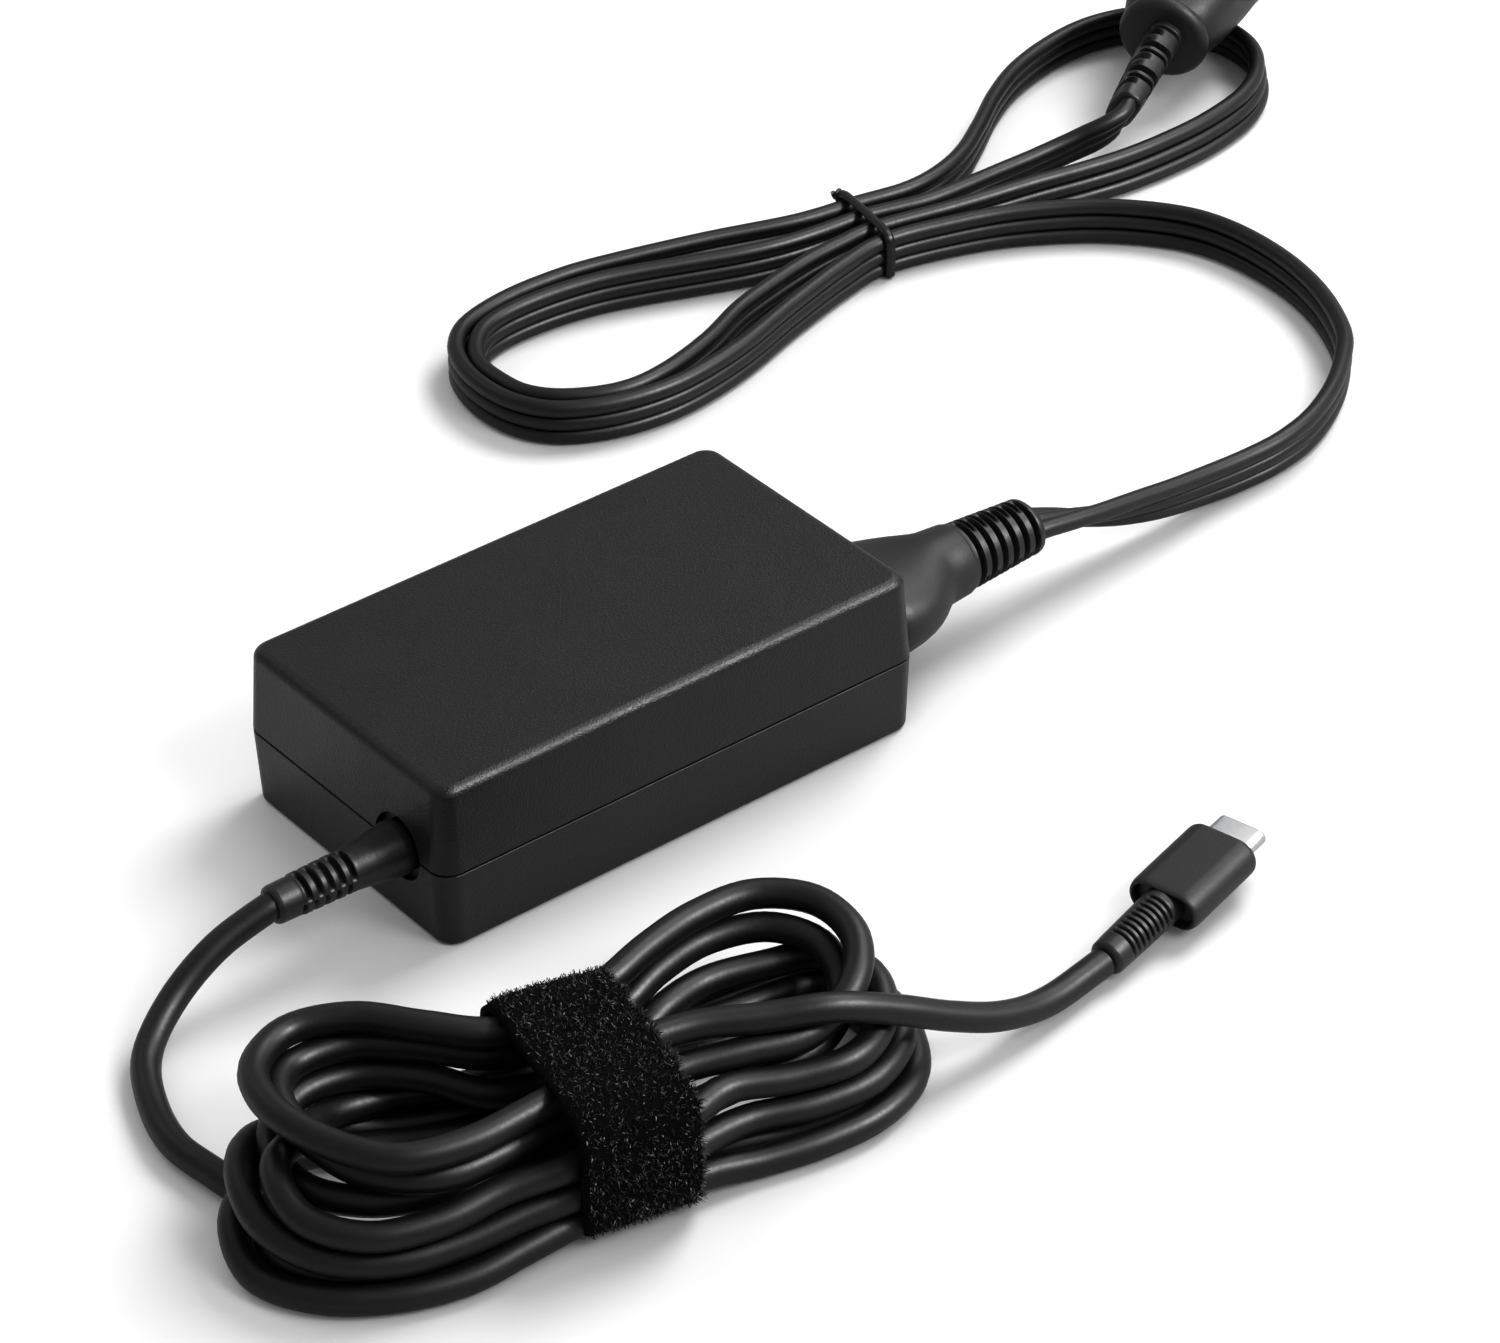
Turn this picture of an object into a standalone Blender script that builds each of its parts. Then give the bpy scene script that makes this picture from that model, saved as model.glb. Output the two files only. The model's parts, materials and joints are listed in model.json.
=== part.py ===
"""A laptop power adapter: a two-shell case with its electronics, a mains lead that pulls out of its
inlet, and a wrapped DC cord with its plug.

Sizes are millimetres here and become metres where a mesh is made. The origin is the centre of the case's
footprint on the table. +X runs along the case towards the mains inlet, -Y is the long side that the DC
cord is nearer, +Z is up.
"""

import math

import bmesh
import bpy
from mathutils import Matrix, Vector

MM = 0.001
GAP = 0.3
# The lowest height of anything that lies on the table
TABLE = 0.1

# Case
CASE_LENGTH = 91.0
CASE_WIDTH = 52.1
CASE_HEIGHT = 28.1
SEAM_Z = 13.37
SEAM_GROOVE = 0.3
BOTTOM_DRAFT = 0.55
TOP_DRAFT = 0.97
WALL = 2.0
CORNER_RADIUS = 3.5
TONGUE_INSET = 1.1
TONGUE_HEIGHT = 1.1
FLOOR_Z = 2.0
CEILING_Z = CASE_HEIGHT - 2.0

# DC strain relief
DC_Y = -14.3
DC_Z = 13.3
DC_CORD = 4.5
DISH_RADIUS = 5.5
DISH_DEPTH = 1.0
DC_HOLE_RADIUS = 4.2
DC_RELIEF_END = -68.0
DC_RIBS = 5

# Mains inlet and connector
INLET_Y = -9.8
INLET_Z = 14.0
INLET_OPENING = (24.6, 17.6)
INLET_FRONT_X = 44.9
INLET_FLANGE_X = 42.3
INLET_BACK_X = 29.0
NOSE_LENGTH = 9.6
CONNECTOR_FACE_X = CASE_LENGTH / 2 + 0.4
NOSE_LOBES = ((4.95, -1.9), (-4.95, -1.9), (0.0, 3.55))
NOSE_LOBE_RADIUS = 4.3
NOSE_CORE_RADIUS = 4.9
PIN_PLACES = {"line": (5.0, -1.9), "neutral": (-5.0, -1.9), "earth": (0.0, 3.6)}
PIN_RADIUS = 1.2
PIN_LENGTH = NOSE_LENGTH - 1.4
CAVITY_CLEARANCE = 0.45
SOCKET_RADIUS = 1.85
CONTACT_RADIUS = 1.6
CONTACT_BORE = 1.35
C5_RELIEF_START = 68.2
C5_RIBS = 6
C5_RIB_PITCH = 2.3

# Flat three-core mains cord
MAINS_WIDTH = 8.2
MAINS_THICKNESS = 3.1
ON_EDGE_Z = MAINS_WIDTH / 2 + TABLE

# Wrapped DC cord and its strap
HANK_TURN = math.radians(-12.0)
STRAP_LEFT = -49.0
STRAP_RIGHT = -31.3

# Low-voltage plug
USB_TURN = math.radians(13.0)
USB_TILT = math.radians(4.0)
USB_START = (25.8, -91.9, 3.6)
USB_RELIEF_LENGTH = 13.6
USB_OVERMOULD = (12.35, 6.5)
USB_OVERMOULD_END = 30.2
USB_SHELL = (8.34, 2.56)
USB_SHELL_WALL = 0.32
USB_SHELL_LENGTH = 5.0

# Mains plug
PLUG_DIRECTION = (0.862, 0.476, 0.17)
PLUG_START = (191.0, 87.9, 10.0)
PLUG_RELIEF_START = 2.4
PLUG_RIBS = 5
PLUG_RIB_PITCH = 3.9
PLUG_BODY_LENGTH = 26.3
# The grounded plug's pattern: two flat blades and a round pin above them
BLADE_SPACING = 12.7
BLADE_THICKNESS = 1.5
BLADE_WIDTH = 6.35
BLADE_LENGTH = 15.9
BLADE_DROP = 2.4
GROUND_RISE = 5.6
GROUND_RADIUS = 2.4
GROUND_LENGTH = 19.4


def clear_scene():
    for leftover in list(bpy.data.objects):
        bpy.data.objects.remove(leftover)


def material(name, colour, roughness, metallic=0.0):
    made = bpy.data.materials.new(name)
    made.use_nodes = True
    shader = made.node_tree.nodes["Principled BSDF"]
    shader.inputs["Base Color"].default_value = (*colour, 1.0)
    shader.inputs["Roughness"].default_value = roughness
    shader.inputs["Metallic"].default_value = metallic
    return made


def finish_mesh(name, shape, look, smooth_angle=None):
    """Turns a bmesh in millimetres into a scene object in metres, with its faces facing out."""
    bmesh.ops.recalc_face_normals(shape, faces=shape.faces)
    bmesh.ops.scale(shape, vec=(MM, MM, MM), verts=shape.verts)
    data = bpy.data.meshes.new(name)
    shape.to_mesh(data)
    shape.free()
    if look:
        data.materials.append(look)
    made = bpy.data.objects.new(name, data)
    bpy.context.scene.collection.objects.link(made)
    if smooth_angle is not None:
        data.shade_smooth()
        data.set_sharp_from_angle(angle=math.radians(smooth_angle))
    return made


def as_cutter(made):
    """Hides a helper solid that only shapes others."""
    made.hide_render = True
    made.display_type = "WIRE"
    return made


def cut(made, cutter):
    change = made.modifiers.new(cutter.name, "BOOLEAN")
    change.operation = "DIFFERENCE"
    change.solver = "EXACT"
    change.object = cutter
    return made


# Profiles: closed lists of (across, up) pairs


def round_rect(width, height, radius, steps=3):
    corners = []
    for turn in range(4):
        side_x = 1 if turn in (0, 3) else -1
        side_y = 1 if turn in (0, 1) else -1
        for step in range(steps + 1):
            angle = math.radians(90) * (turn + step / steps)
            across = side_x * (width / 2 - radius) + radius * math.cos(angle)
            up = side_y * (height / 2 - radius) + radius * math.sin(angle)
            corners.append((across, up))
    return corners


def superellipse(width, height, power=2.0, count=20):
    points = []
    for step in range(count):
        angle = math.tau * step / count
        c = math.cos(angle)
        s = math.sin(angle)
        across = math.copysign(abs(c) ** (2 / power), c) * width / 2
        up = math.copysign(abs(s) ** (2 / power), s) * height / 2
        points.append((across, up))
    return points


def nose_profile(grow, count=36):
    """The three-lobed outline of the connector's nose, grown outwards."""
    points = []
    for step in range(count):
        angle = math.tau * (step + 0.5) / count
        ray = Vector((math.cos(angle), math.sin(angle)))
        reach = NOSE_CORE_RADIUS + grow
        for lobe in NOSE_LOBES:
            centre = Vector(lobe)
            along = centre.dot(ray)
            aside = (centre - along * ray).length
            radius = NOSE_LOBE_RADIUS + grow
            if along > 0 and aside < radius:
                reach = max(reach, along + math.sqrt(radius**2 - aside**2))
        points.append(tuple(ray * reach))
    return points


# Solids from rings of equal point counts


def skin(name, rings, look, smooth_angle=None, joined=False):
    """A solid skinned over rings, with a flat cap at each end, or joined end to end into a ring."""
    shape = bmesh.new()
    loops = [[shape.verts.new(point) for point in ring] for ring in rings]
    pairs = list(zip(loops, loops[1:]))
    if joined:
        pairs.append((loops[-1], loops[0]))
    else:
        shape.faces.new(loops[0])
        shape.faces.new(loops[-1])
    count = len(loops[0])
    for low, high in pairs:
        for at in range(count):
            after = (at + 1) % count
            shape.faces.new((low[at], low[after], high[after], high[at]))
    return finish_mesh(name, shape, look, smooth_angle)


def axes_of(direction):
    """Unit vectors along a direction, across it (level) and up from it."""
    along = Vector(direction).normalized()
    across = Vector((-along.y, along.x, 0.0)).normalized()
    return along, across, along.cross(across)


def place(profile, at, direction=(1, 0, 0), roll=0.0):
    """The profile as points in space, on the plane through a point square to a direction."""
    along, across, up = axes_of(direction)
    turn = Matrix.Rotation(roll, 3, along)
    across = turn @ across
    up = turn @ up
    return [Vector(at) + across * a + up * b for a, b in profile]


def along_axis(name, start, direction, sections, look, smooth_angle=None):
    """A solid along an axis from (distance, profile) sections."""
    along = Vector(direction).normalized()
    rings = [place(profile, Vector(start) + along * far, along) for far, profile in sections]
    return skin(name, rings, look, smooth_angle)


def box(name, low, high, look, bevel=0.3):
    """A box between two corners, with its edges bevelled."""
    shape = bmesh.new()
    bmesh.ops.create_cube(shape, size=1.0)
    low = Vector(low)
    high = Vector(high)
    for corner in shape.verts:
        corner.co = Vector(l if c < 0 else h for c, l, h in zip(corner.co, low, high))
    if bevel:
        bmesh.ops.bevel(shape, geom=shape.edges, offset=bevel, segments=1, affect="EDGES")
    return finish_mesh(name, shape, look)


def turned(name, base, outline, look, direction=(0, 0, 1), count=20):
    """A solid of revolution: (height, radius) pairs from one end to the other."""
    along = Vector(direction).normalized()
    level = Vector((1, 0, 0)) if abs(along.x) < 0.9 else Vector((0, 1, 0))
    aside = along.cross(level).normalized()
    level = aside.cross(along)
    rings = []
    for height, radius in outline:
        centre = Vector(base) + along * height
        ring = []
        for step in range(count):
            angle = math.tau * step / count
            ring.append(centre + (level * math.cos(angle) + aside * math.sin(angle)) * radius)
        rings.append(ring)
    return skin(name, rings, look, 40)


# Routes


def smooth_route(points, spacing):
    """Evenly spaced points on a smooth curve through the route's points."""
    knots = [Vector(point) for point in points]
    knots.insert(0, knots[0] * 2 - knots[1])
    knots.append(knots[-1] * 2 - knots[-2])
    fine = []
    steps = 24
    for at in range(1, len(knots) - 2):
        a, b, c, d = knots[at - 1 : at + 3]
        for step in range(steps):
            t = step / steps
            pull = b * 2 + (c - a) * t + (a * 2 - b * 5 + c * 4 - d) * t**2
            fine.append((pull + (b * 3 - a - c * 3 + d) * t**3) * 0.5)
    fine.append(knots[-2])
    lengths = [0.0]
    for low, high in zip(fine, fine[1:]):
        lengths.append(lengths[-1] + (high - low).length)
    count = max(2, round(lengths[-1] / spacing) + 1)
    even = []
    reach = 0
    for step in range(count):
        wanted = lengths[-1] * step / (count - 1)
        while reach < len(lengths) - 2 and lengths[reach + 1] < wanted:
            reach += 1
        share = (wanted - lengths[reach]) / (lengths[reach + 1] - lengths[reach])
        even.append(fine[reach].lerp(fine[reach + 1], share))
    return even


def tube(name, route, diameter, look, spacing):
    """A round cord along a route."""
    points = smooth_route(route, spacing)
    data = bpy.data.curves.new(name, "CURVE")
    data.dimensions = "3D"
    data.bevel_depth = diameter / 2 * MM
    data.bevel_resolution = 2
    data.use_fill_caps = True
    spline = data.splines.new("POLY")
    spline.points.add(len(points) - 1)
    for knot, point in zip(spline.points, points):
        knot.co = (*(point * MM), 1.0)
    spline.use_smooth = True
    data.materials.append(look)
    made = bpy.data.objects.new(name, data)
    bpy.context.scene.collection.objects.link(made)
    return made


def flat_tube(name, route, rolls, look, spacing=8.0):
    """The flat cord along a route. Rolls are (share of the length, degrees); 90 stands it on edge."""
    points = smooth_route(route, spacing)
    profile = round_rect(MAINS_WIDTH, MAINS_THICKNESS, 1.3, 2)
    rings = []
    for at, point in enumerate(points):
        before = points[max(at - 1, 0)]
        after = points[min(at + 1, len(points) - 1)]
        share = at / (len(points) - 1)
        roll = rolls[-1][1]
        for (low, first), (high, second) in zip(rolls, rolls[1:]):
            if low <= share <= high:
                roll = first + (second - first) * (share - low) / (high - low)
                break
        rings.append(place(profile, point, after - before, math.radians(roll)))
    return skin(name, rings, look, 50)


# Case


def case_ring(inset, z):
    """The case's outline at a height, drawn in from its widest."""
    width = CASE_LENGTH - 2 * inset
    depth = CASE_WIDTH - 2 * inset
    radius = max(CORNER_RADIUS - inset, 1.0)
    return [(x, y, z) for x, y in round_rect(width, depth, radius, 4)]


def make_shells(look):
    low_lip = SEAM_Z - SEAM_GROOVE / 2
    high_lip = SEAM_Z + SEAM_GROOVE / 2
    tongue_top = low_lip + TONGUE_HEIGHT
    bottom = [
        case_ring(BOTTOM_DRAFT + 0.9, 0.0),
        case_ring(BOTTOM_DRAFT + 0.2, 0.35),
        case_ring(BOTTOM_DRAFT, 1.1),
        case_ring(0.12, low_lip - 0.15),
        case_ring(0.35, low_lip),
        case_ring(TONGUE_INSET, low_lip),
        case_ring(TONGUE_INSET, tongue_top),
        case_ring(WALL, tongue_top),
        case_ring(WALL + BOTTOM_DRAFT, FLOOR_Z),
    ]
    rebate = TONGUE_INSET - GAP
    top = [
        case_ring(WALL + TOP_DRAFT, CEILING_Z),
        case_ring(WALL, tongue_top + GAP),
        case_ring(rebate, tongue_top + GAP),
        case_ring(rebate, high_lip),
        case_ring(0.35, high_lip),
        case_ring(0.12, high_lip + 0.15),
        case_ring(TOP_DRAFT - 0.08, CASE_HEIGHT - 1.9),
        case_ring(TOP_DRAFT + 0.2, CASE_HEIGHT - 0.95),
        case_ring(TOP_DRAFT + 0.85, CASE_HEIGHT - 0.25),
        case_ring(TOP_DRAFT + 1.8, CASE_HEIGHT),
    ]
    dc_cutter = along_axis(
        "dc_opening_cutter",
        (-CASE_LENGTH / 2 - 1.0, DC_Y, DC_Z),
        (1, 0, 0),
        [
            (0.0, superellipse(2 * DISH_RADIUS, 2 * DISH_RADIUS)),
            (1.0 + DISH_DEPTH, superellipse(2 * DISH_RADIUS, 2 * DISH_RADIUS)),
            (1.0 + DISH_DEPTH, superellipse(2 * DC_HOLE_RADIUS, 2 * DC_HOLE_RADIUS)),
            (5.0, superellipse(2 * DC_HOLE_RADIUS, 2 * DC_HOLE_RADIUS)),
        ],
        None,
    )
    inlet_cutter = along_axis(
        "inlet_opening_cutter",
        (CASE_LENGTH / 2 - 5.0, INLET_Y, INLET_Z),
        (1, 0, 0),
        [(far, round_rect(*INLET_OPENING, 3.0)) for far in (0.0, 8.0)],
        None,
    )
    for name, rings in (("bottom_shell", bottom), ("top_shell", top)):
        shell = skin(name, rings, look, 35)
        for cutter in (dc_cutter, inlet_cutter):
            cut(shell, as_cutter(cutter))


# Electronics inside the case

BOARD_LOW = 4.2
BOARD_TOP = BOARD_LOW + 1.6
PART_Z = BOARD_TOP + GAP


def make_inlet(plastic, brass):
    frame = round_rect(INLET_OPENING[0] - 2 * GAP, INLET_OPENING[1] - 2 * GAP, 2.7)
    block = round_rect(INLET_OPENING[0] + 1.8, INLET_OPENING[1] + 1.6, 1.5)
    body = along_axis(
        "ac_inlet_body",
        (0.0, INLET_Y, INLET_Z),
        (1, 0, 0),
        [(INLET_BACK_X, block), (INLET_FLANGE_X, block), (INLET_FLANGE_X, frame), (INLET_FRONT_X, frame)],
        plastic,
    )
    cavity_floor = CONNECTOR_FACE_X - NOSE_LENGTH - 0.5
    cavity = along_axis(
        "inlet_cavity_cutter",
        (0.0, INLET_Y, INLET_Z),
        (1, 0, 0),
        [(far, nose_profile(CAVITY_CLEARANCE)) for far in (cavity_floor, INLET_FRONT_X + 2.0)],
        None,
    )
    cut(body, as_cutter(cavity))
    for name, (across, up) in PIN_PLACES.items():
        centre = (cavity_floor + GAP, INLET_Y + across, INLET_Z + up)
        rounded_tip = [(0.0, PIN_RADIUS), (PIN_LENGTH - 0.7, PIN_RADIUS), (PIN_LENGTH, 0.45 * PIN_RADIUS)]
        turned(f"inlet_pin_{name}", centre, rounded_tip, brass, (1, 0, 0), 12)


def make_board_parts(look):
    """The main board and what stands on it, mains side at +X and output side at -X."""
    box("circuit_board", (-42.3, -22.6, BOARD_LOW), (28.4, 22.6, BOARD_TOP), look["board"], 0.0)
    fuse_outline = [(0.0, 2.3), (1.6, 2.3), (1.6, 2.0), (8.4, 2.0), (8.4, 2.3), (10.0, 2.3)]
    turned("fuse", (24.0, -21.5, PART_Z + 2.3), fuse_outline, look["ceramic"], (0, 1, 0), 12)
    box("x_capacitor", (21.0, -7.0, PART_Z), (27.5, 6.5, PART_Z + 12.0), look["yellow"], 0.5)
    choke_core = [(0.0, 6.0), (1.5, 6.0), (1.5, 2.6), (10.5, 2.6), (10.5, 6.0), (12.0, 6.0)]
    turned("choke_core", (13.0, -3.0, PART_Z), choke_core, look["ferrite"], count=20)
    coil_rings = []
    turns = 7
    for turn in range(turns * 2 + 1):
        radius = 5.7 if turn % 2 else 5.25
        coil_rings.append((2.0 + 8.0 * turn / (turns * 2), radius))
    hollow_turned("choke_winding", (13.0, -3.0, PART_Z), coil_rings, 2.9, look["copper"])
    rectifier = [(-5.2, 0.0), (5.2, 0.0), (5.2, 8.5), (-3.4, 8.5), (-5.2, 6.7)]
    rings = [[(12.5 + a, y, PART_Z + b) for a, b in rectifier] for y in (-14.6, -11.3)]
    skin("bridge_rectifier", rings, look["black"])
    can = [(0.0, 7.0), (0.4, 7.5), (2.2, 7.5), (2.7, 7.1), (3.2, 7.5), (24.0, 7.5), (24.4, 7.0)]
    turned("bulk_capacitor", (-4.5, 14.0, PART_Z + 7.6), can, look["sleeve"], (1, 0, 0), 24)
    make_transformer(look)
    box("primary_heat_sink", (-12.0, -22.4, PART_Z), (19.5, -21.0, PART_Z + 16.0), look["metal"], 0.2)
    transistor_low = (-3.0, -20.6, PART_Z)
    transistor_high = (7.2, -16.2, PART_Z + 15.0)
    transistor = box("switching_transistor", transistor_low, transistor_high, look["black"], 0.4)
    tab_notch = box("tab_cutter", (-4.0, -19.3, PART_Z + 8.9), (8.2, -15.0, PART_Z + 16.0), None, 0.0)
    cut(transistor, as_cutter(tab_notch))
    turned("safety_capacitor", (-13.0, 10.5, PART_Z + 4.1), [(0.0, 3.2), (0.7, 4.0), (2.3, 4.0), (3.0, 3.2)],
           look["blue"], (0, 1, 0), 16)
    box("optocoupler", (-20.5, 13.6, PART_Z), (-16.0, 20.0, PART_Z + 3.4), look["white"], 0.3)
    fins = [
        (-28.0, 0.0),
        (-20.6, 0.0),
        (-20.6, 15.0),
        (-22.0, 15.0),
        (-22.0, 1.6),
        (-26.6, 1.6),
        (-26.6, 15.0),
        (-28.0, 15.0),
    ]
    rings = [[(a, y, PART_Z + b) for a, b in fins] for y in (-16.0, 6.0)]
    skin("secondary_heat_sink", rings, look["metal"])
    small_can = [(0.0, 3.6), (0.3, 4.0), (1.5, 4.0), (1.8, 3.75), (2.1, 4.0), (13.6, 4.0), (14.0, 3.6)]
    turned("output_capacitor_1", (-26.0, 17.5, PART_Z), small_can, look["sleeve"], count=16)
    turned("output_capacitor_2", (-34.8, 17.5, PART_Z), small_can, look["sleeve"], count=16)
    inductor = [(0.0, 5.0), (1.2, 5.0), (2.2, 4.3), (6.4, 4.3), (7.4, 5.0), (8.6, 5.0)]
    turned("output_inductor", (-34.6, 5.5, PART_Z), inductor, look["ferrite"], count=20)
    box("output_control_board", (-37.0, -5.0, PART_Z), (-35.6, -0.9, PART_Z + 13.0), look["board"], 0.0)
    turned("inrush_thermistor", (23.2, 11.0, PART_Z + 3.7), [(0.0, 3.0), (0.6, 3.6), (3.2, 3.6), (3.8, 3.0)],
           look["green"], (1, 0, 0), 16)


def hollow_turned(name, base, outline, bore, look, count=20):
    """A ring of revolution with a plain bore, from its outer (height, radius) pairs."""
    profile = list(outline) + [(outline[-1][0], bore), (outline[0][0], bore)]
    rings = []
    for step in range(count):
        angle = math.tau * step / count
        ray = Vector((math.cos(angle), math.sin(angle), 0.0))
        rings.append([Vector(base) + ray * radius + Vector((0, 0, height)) for height, radius in profile])
    return skin(name, rings, look, 40, joined=True)


def make_transformer(look):
    """A ferrite core round a taped winding, its centre leg in the winding's bore."""
    low = Vector((-12.2, -14.8, PART_Z))
    high = Vector((3.8, 5.6, PART_Z + 16.0))
    core = box("transformer_core", low, high, look["ferrite"], 0.3)
    middle = (low + high) / 2
    # The centre leg's half width, then each window's width and half height
    leg = 3.6
    window_width = 5.2
    window_rise = 6.6
    for side in (-1, 1):
        inner = leg * side
        outer = (leg + window_width) * side
        sides = sorted((middle.y + inner, middle.y + outer))
        slot_low = (low.x - 1.0, sides[0], middle.z - window_rise)
        slot_high = (high.x + 1.0, sides[1], middle.z + window_rise)
        opening = box(f"window_cutter_{side + 1}", slot_low, slot_high, None, 0.0)
        cut(core, as_cutter(opening))
    outer_ring = round_rect(2 * (leg + window_width - GAP), high.x - low.x + 5.0, 3.0)
    inner_ring = round_rect(2 * (leg + GAP), high.x - low.x + 2 * GAP, 0.8)
    rings = []
    for profile, height in ((inner_ring, 1.0), (outer_ring, 1.0), (outer_ring, -1.0), (inner_ring, -1.0)):
        z = middle.z + height * (window_rise - GAP)
        rings.append([(middle.x + up, middle.y + across, z) for across, up in profile])
    skin("transformer_winding", rings, look["tape"], joined=True)


# DC strain relief, cord and strap


def ribbed(start, end, ribs, high, low, profile_of):
    """Sections of a strain relief: raised rings from start to end with narrow grooves between."""
    sections = []
    pitch = (end - start) / ribs
    for rib in range(ribs):
        share = rib / max(ribs - 1, 1)
        size = high + (low - high) * share
        near = start + rib * pitch
        far = near + pitch * 0.62
        sections += [(near, profile_of(size)), (far, profile_of(size))]
        if rib < ribs - 1:
            sections += [(far, profile_of(size - 1.1)), (near + pitch, profile_of(size - 1.1))]
    return sections


def round_profile(diameter):
    """A circle coarse enough for the strain reliefs."""
    return superellipse(diameter, diameter, 2.0, 16)


def make_dc_relief(look):
    face = CASE_LENGTH / 2
    sections = [
        (-face + WALL + 2.4, round_profile(11.0)),
        (-face + WALL + 0.7, round_profile(11.0)),
        (-face + WALL + 0.7, round_profile(2 * (DC_HOLE_RADIUS - GAP))),
        (-face + DISH_DEPTH - GAP, round_profile(2 * (DC_HOLE_RADIUS - GAP))),
        (-face + DISH_DEPTH - GAP, round_profile(10.2)),
        (-face, round_profile(10.0)),
        (-face - 3.0, round_profile(9.0)),
        (-face - 8.6, round_profile(7.8)),
        (-face - 8.6, round_profile(6.4)),
    ]
    sections = [(-far, profile) for far, profile in sections]
    start = face + 9.6
    stop = -DC_RELIEF_END - 4.0
    sections += ribbed(start, stop, DC_RIBS, 7.6, 7.4, round_profile)
    sections += [
        (stop, round_profile(6.3)),
        (stop + 0.7, round_profile(6.3)),
        (stop + 0.7, round_profile(6.9)),
        (stop + 3.4, round_profile(6.7)),
        (stop + 4.0, round_profile(5.8)),
    ]
    along_axis("dc_strain_relief", (0.0, DC_Y, DC_Z), (-1, 0, 0), sections, look, 50)


# From the case's strain relief down to the wrapped cord
DC_FREE_ROUTE = (
    (-68.6, -14.3, 13.2),
    (-72.5, -13.8, 12.4),
    (-78.0, -13.8, 10.0),
    (-84.0, -14.9, 7.3),
    (-89.5, -16.6, 4.7),
    (-94.3, -20.4, 3.0),
    (-98.0, -26.3, 2.4),
    (-100.6, -33.8, 2.4),
    (-101.6, -40.0, 2.4),
)

# From the wrapped cord to the low-voltage plug
DC_EXIT_ROUTE = (
    (-4.2, -93.3, 10.4),
    (0.8, -92.8, 7.2),
    (6.0, -92.4, 4.6),
    (11.5, -92.0, 3.2),
    (18.0, -91.9, 2.9),
    (25.1, -92.0, 3.3),
)


# Along the wrapped cord: (u, near side v, far side v, lowest z, top z). The strap runs under its waist.
HANK_STATIONS = (
    (-94.2, -83.0, -70.0, TABLE, 6.0),
    (-91.6, -91.0, -64.6, TABLE, 9.0),
    (-87.0, -97.4, -61.4, TABLE, 14.4),
    (-80.0, -102.0, -59.6, TABLE, 18.6),
    (-71.0, -103.2, -60.6, TABLE, 20.2),
    (-60.0, -103.2, -65.0, TABLE, 20.8),
    (-52.0, -102.9, -70.4, 1.0, 20.8),
    (-49.6, -102.9, -72.0, 1.7, 20.8),
    (-40.0, -102.9, -72.2, 1.7, 20.8),
    (-30.7, -102.9, -72.0, 1.7, 20.8),
    (-27.6, -103.0, -68.0, 1.0, 20.8),
    (-20.0, -103.2, -62.4, TABLE, 20.6),
    (-9.5, -103.2, -58.9, TABLE, 20.2),
    (0.0, -102.2, -60.0, TABLE, 19.4),
    (6.6, -98.6, -63.2, TABLE, 17.0),
    (11.4, -94.0, -67.2, TABLE, 12.0),
    (15.6, -87.0, -71.4, TABLE, 7.0),
)
STRAP_INSIDE = (32.4, 20.1)
STRAP_THICKNESS = 1.3
STRAP_MIDDLE_V = -87.5


def hank_point(u, v, z):
    """Hank axes: u runs along the hank to the right, v across it to the far side."""
    c = math.cos(HANK_TURN)
    s = math.sin(HANK_TURN)
    return Vector((u * c - v * s, u * s + v * c, z))


def make_dc_cord(cord):
    """The cord's free lengths and, between them, one solid for its wrapped turns."""
    tube("dc_cord_from_case", DC_FREE_ROUTE, DC_CORD, cord, 9.0)
    rings = []
    for u, near, far, low, top in HANK_STATIONS:
        height = top - low
        profile = round_rect(far - near, height, min(5.0, height / 2.4, (far - near) / 2.4))
        middle = (near + far) / 2
        rings.append([hank_point(u, middle + v, low + height / 2 + z) for v, z in profile])
    skin("dc_cord_hank", rings, cord, 50)
    tube("dc_cord_to_plug", DC_EXIT_ROUTE, DC_CORD, cord, 7.0)


def make_strap(fabric):
    rings = []
    lift = STRAP_INSIDE[1] / 2 + STRAP_THICKNESS + 0.05
    for u, thickness in (
        (STRAP_LEFT, 0.0),
        (STRAP_LEFT, STRAP_THICKNESS),
        (STRAP_RIGHT, STRAP_THICKNESS),
        (STRAP_RIGHT, 0.0),
    ):
        width, height = (side + 2 * thickness for side in STRAP_INSIDE)
        profile = round_rect(width, height, 4.6 + thickness)
        rings.append([hank_point(u, STRAP_MIDDLE_V + v, lift + z) for v, z in profile])
    skin("cord_strap", rings, fabric, 50, joined=True)


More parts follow.
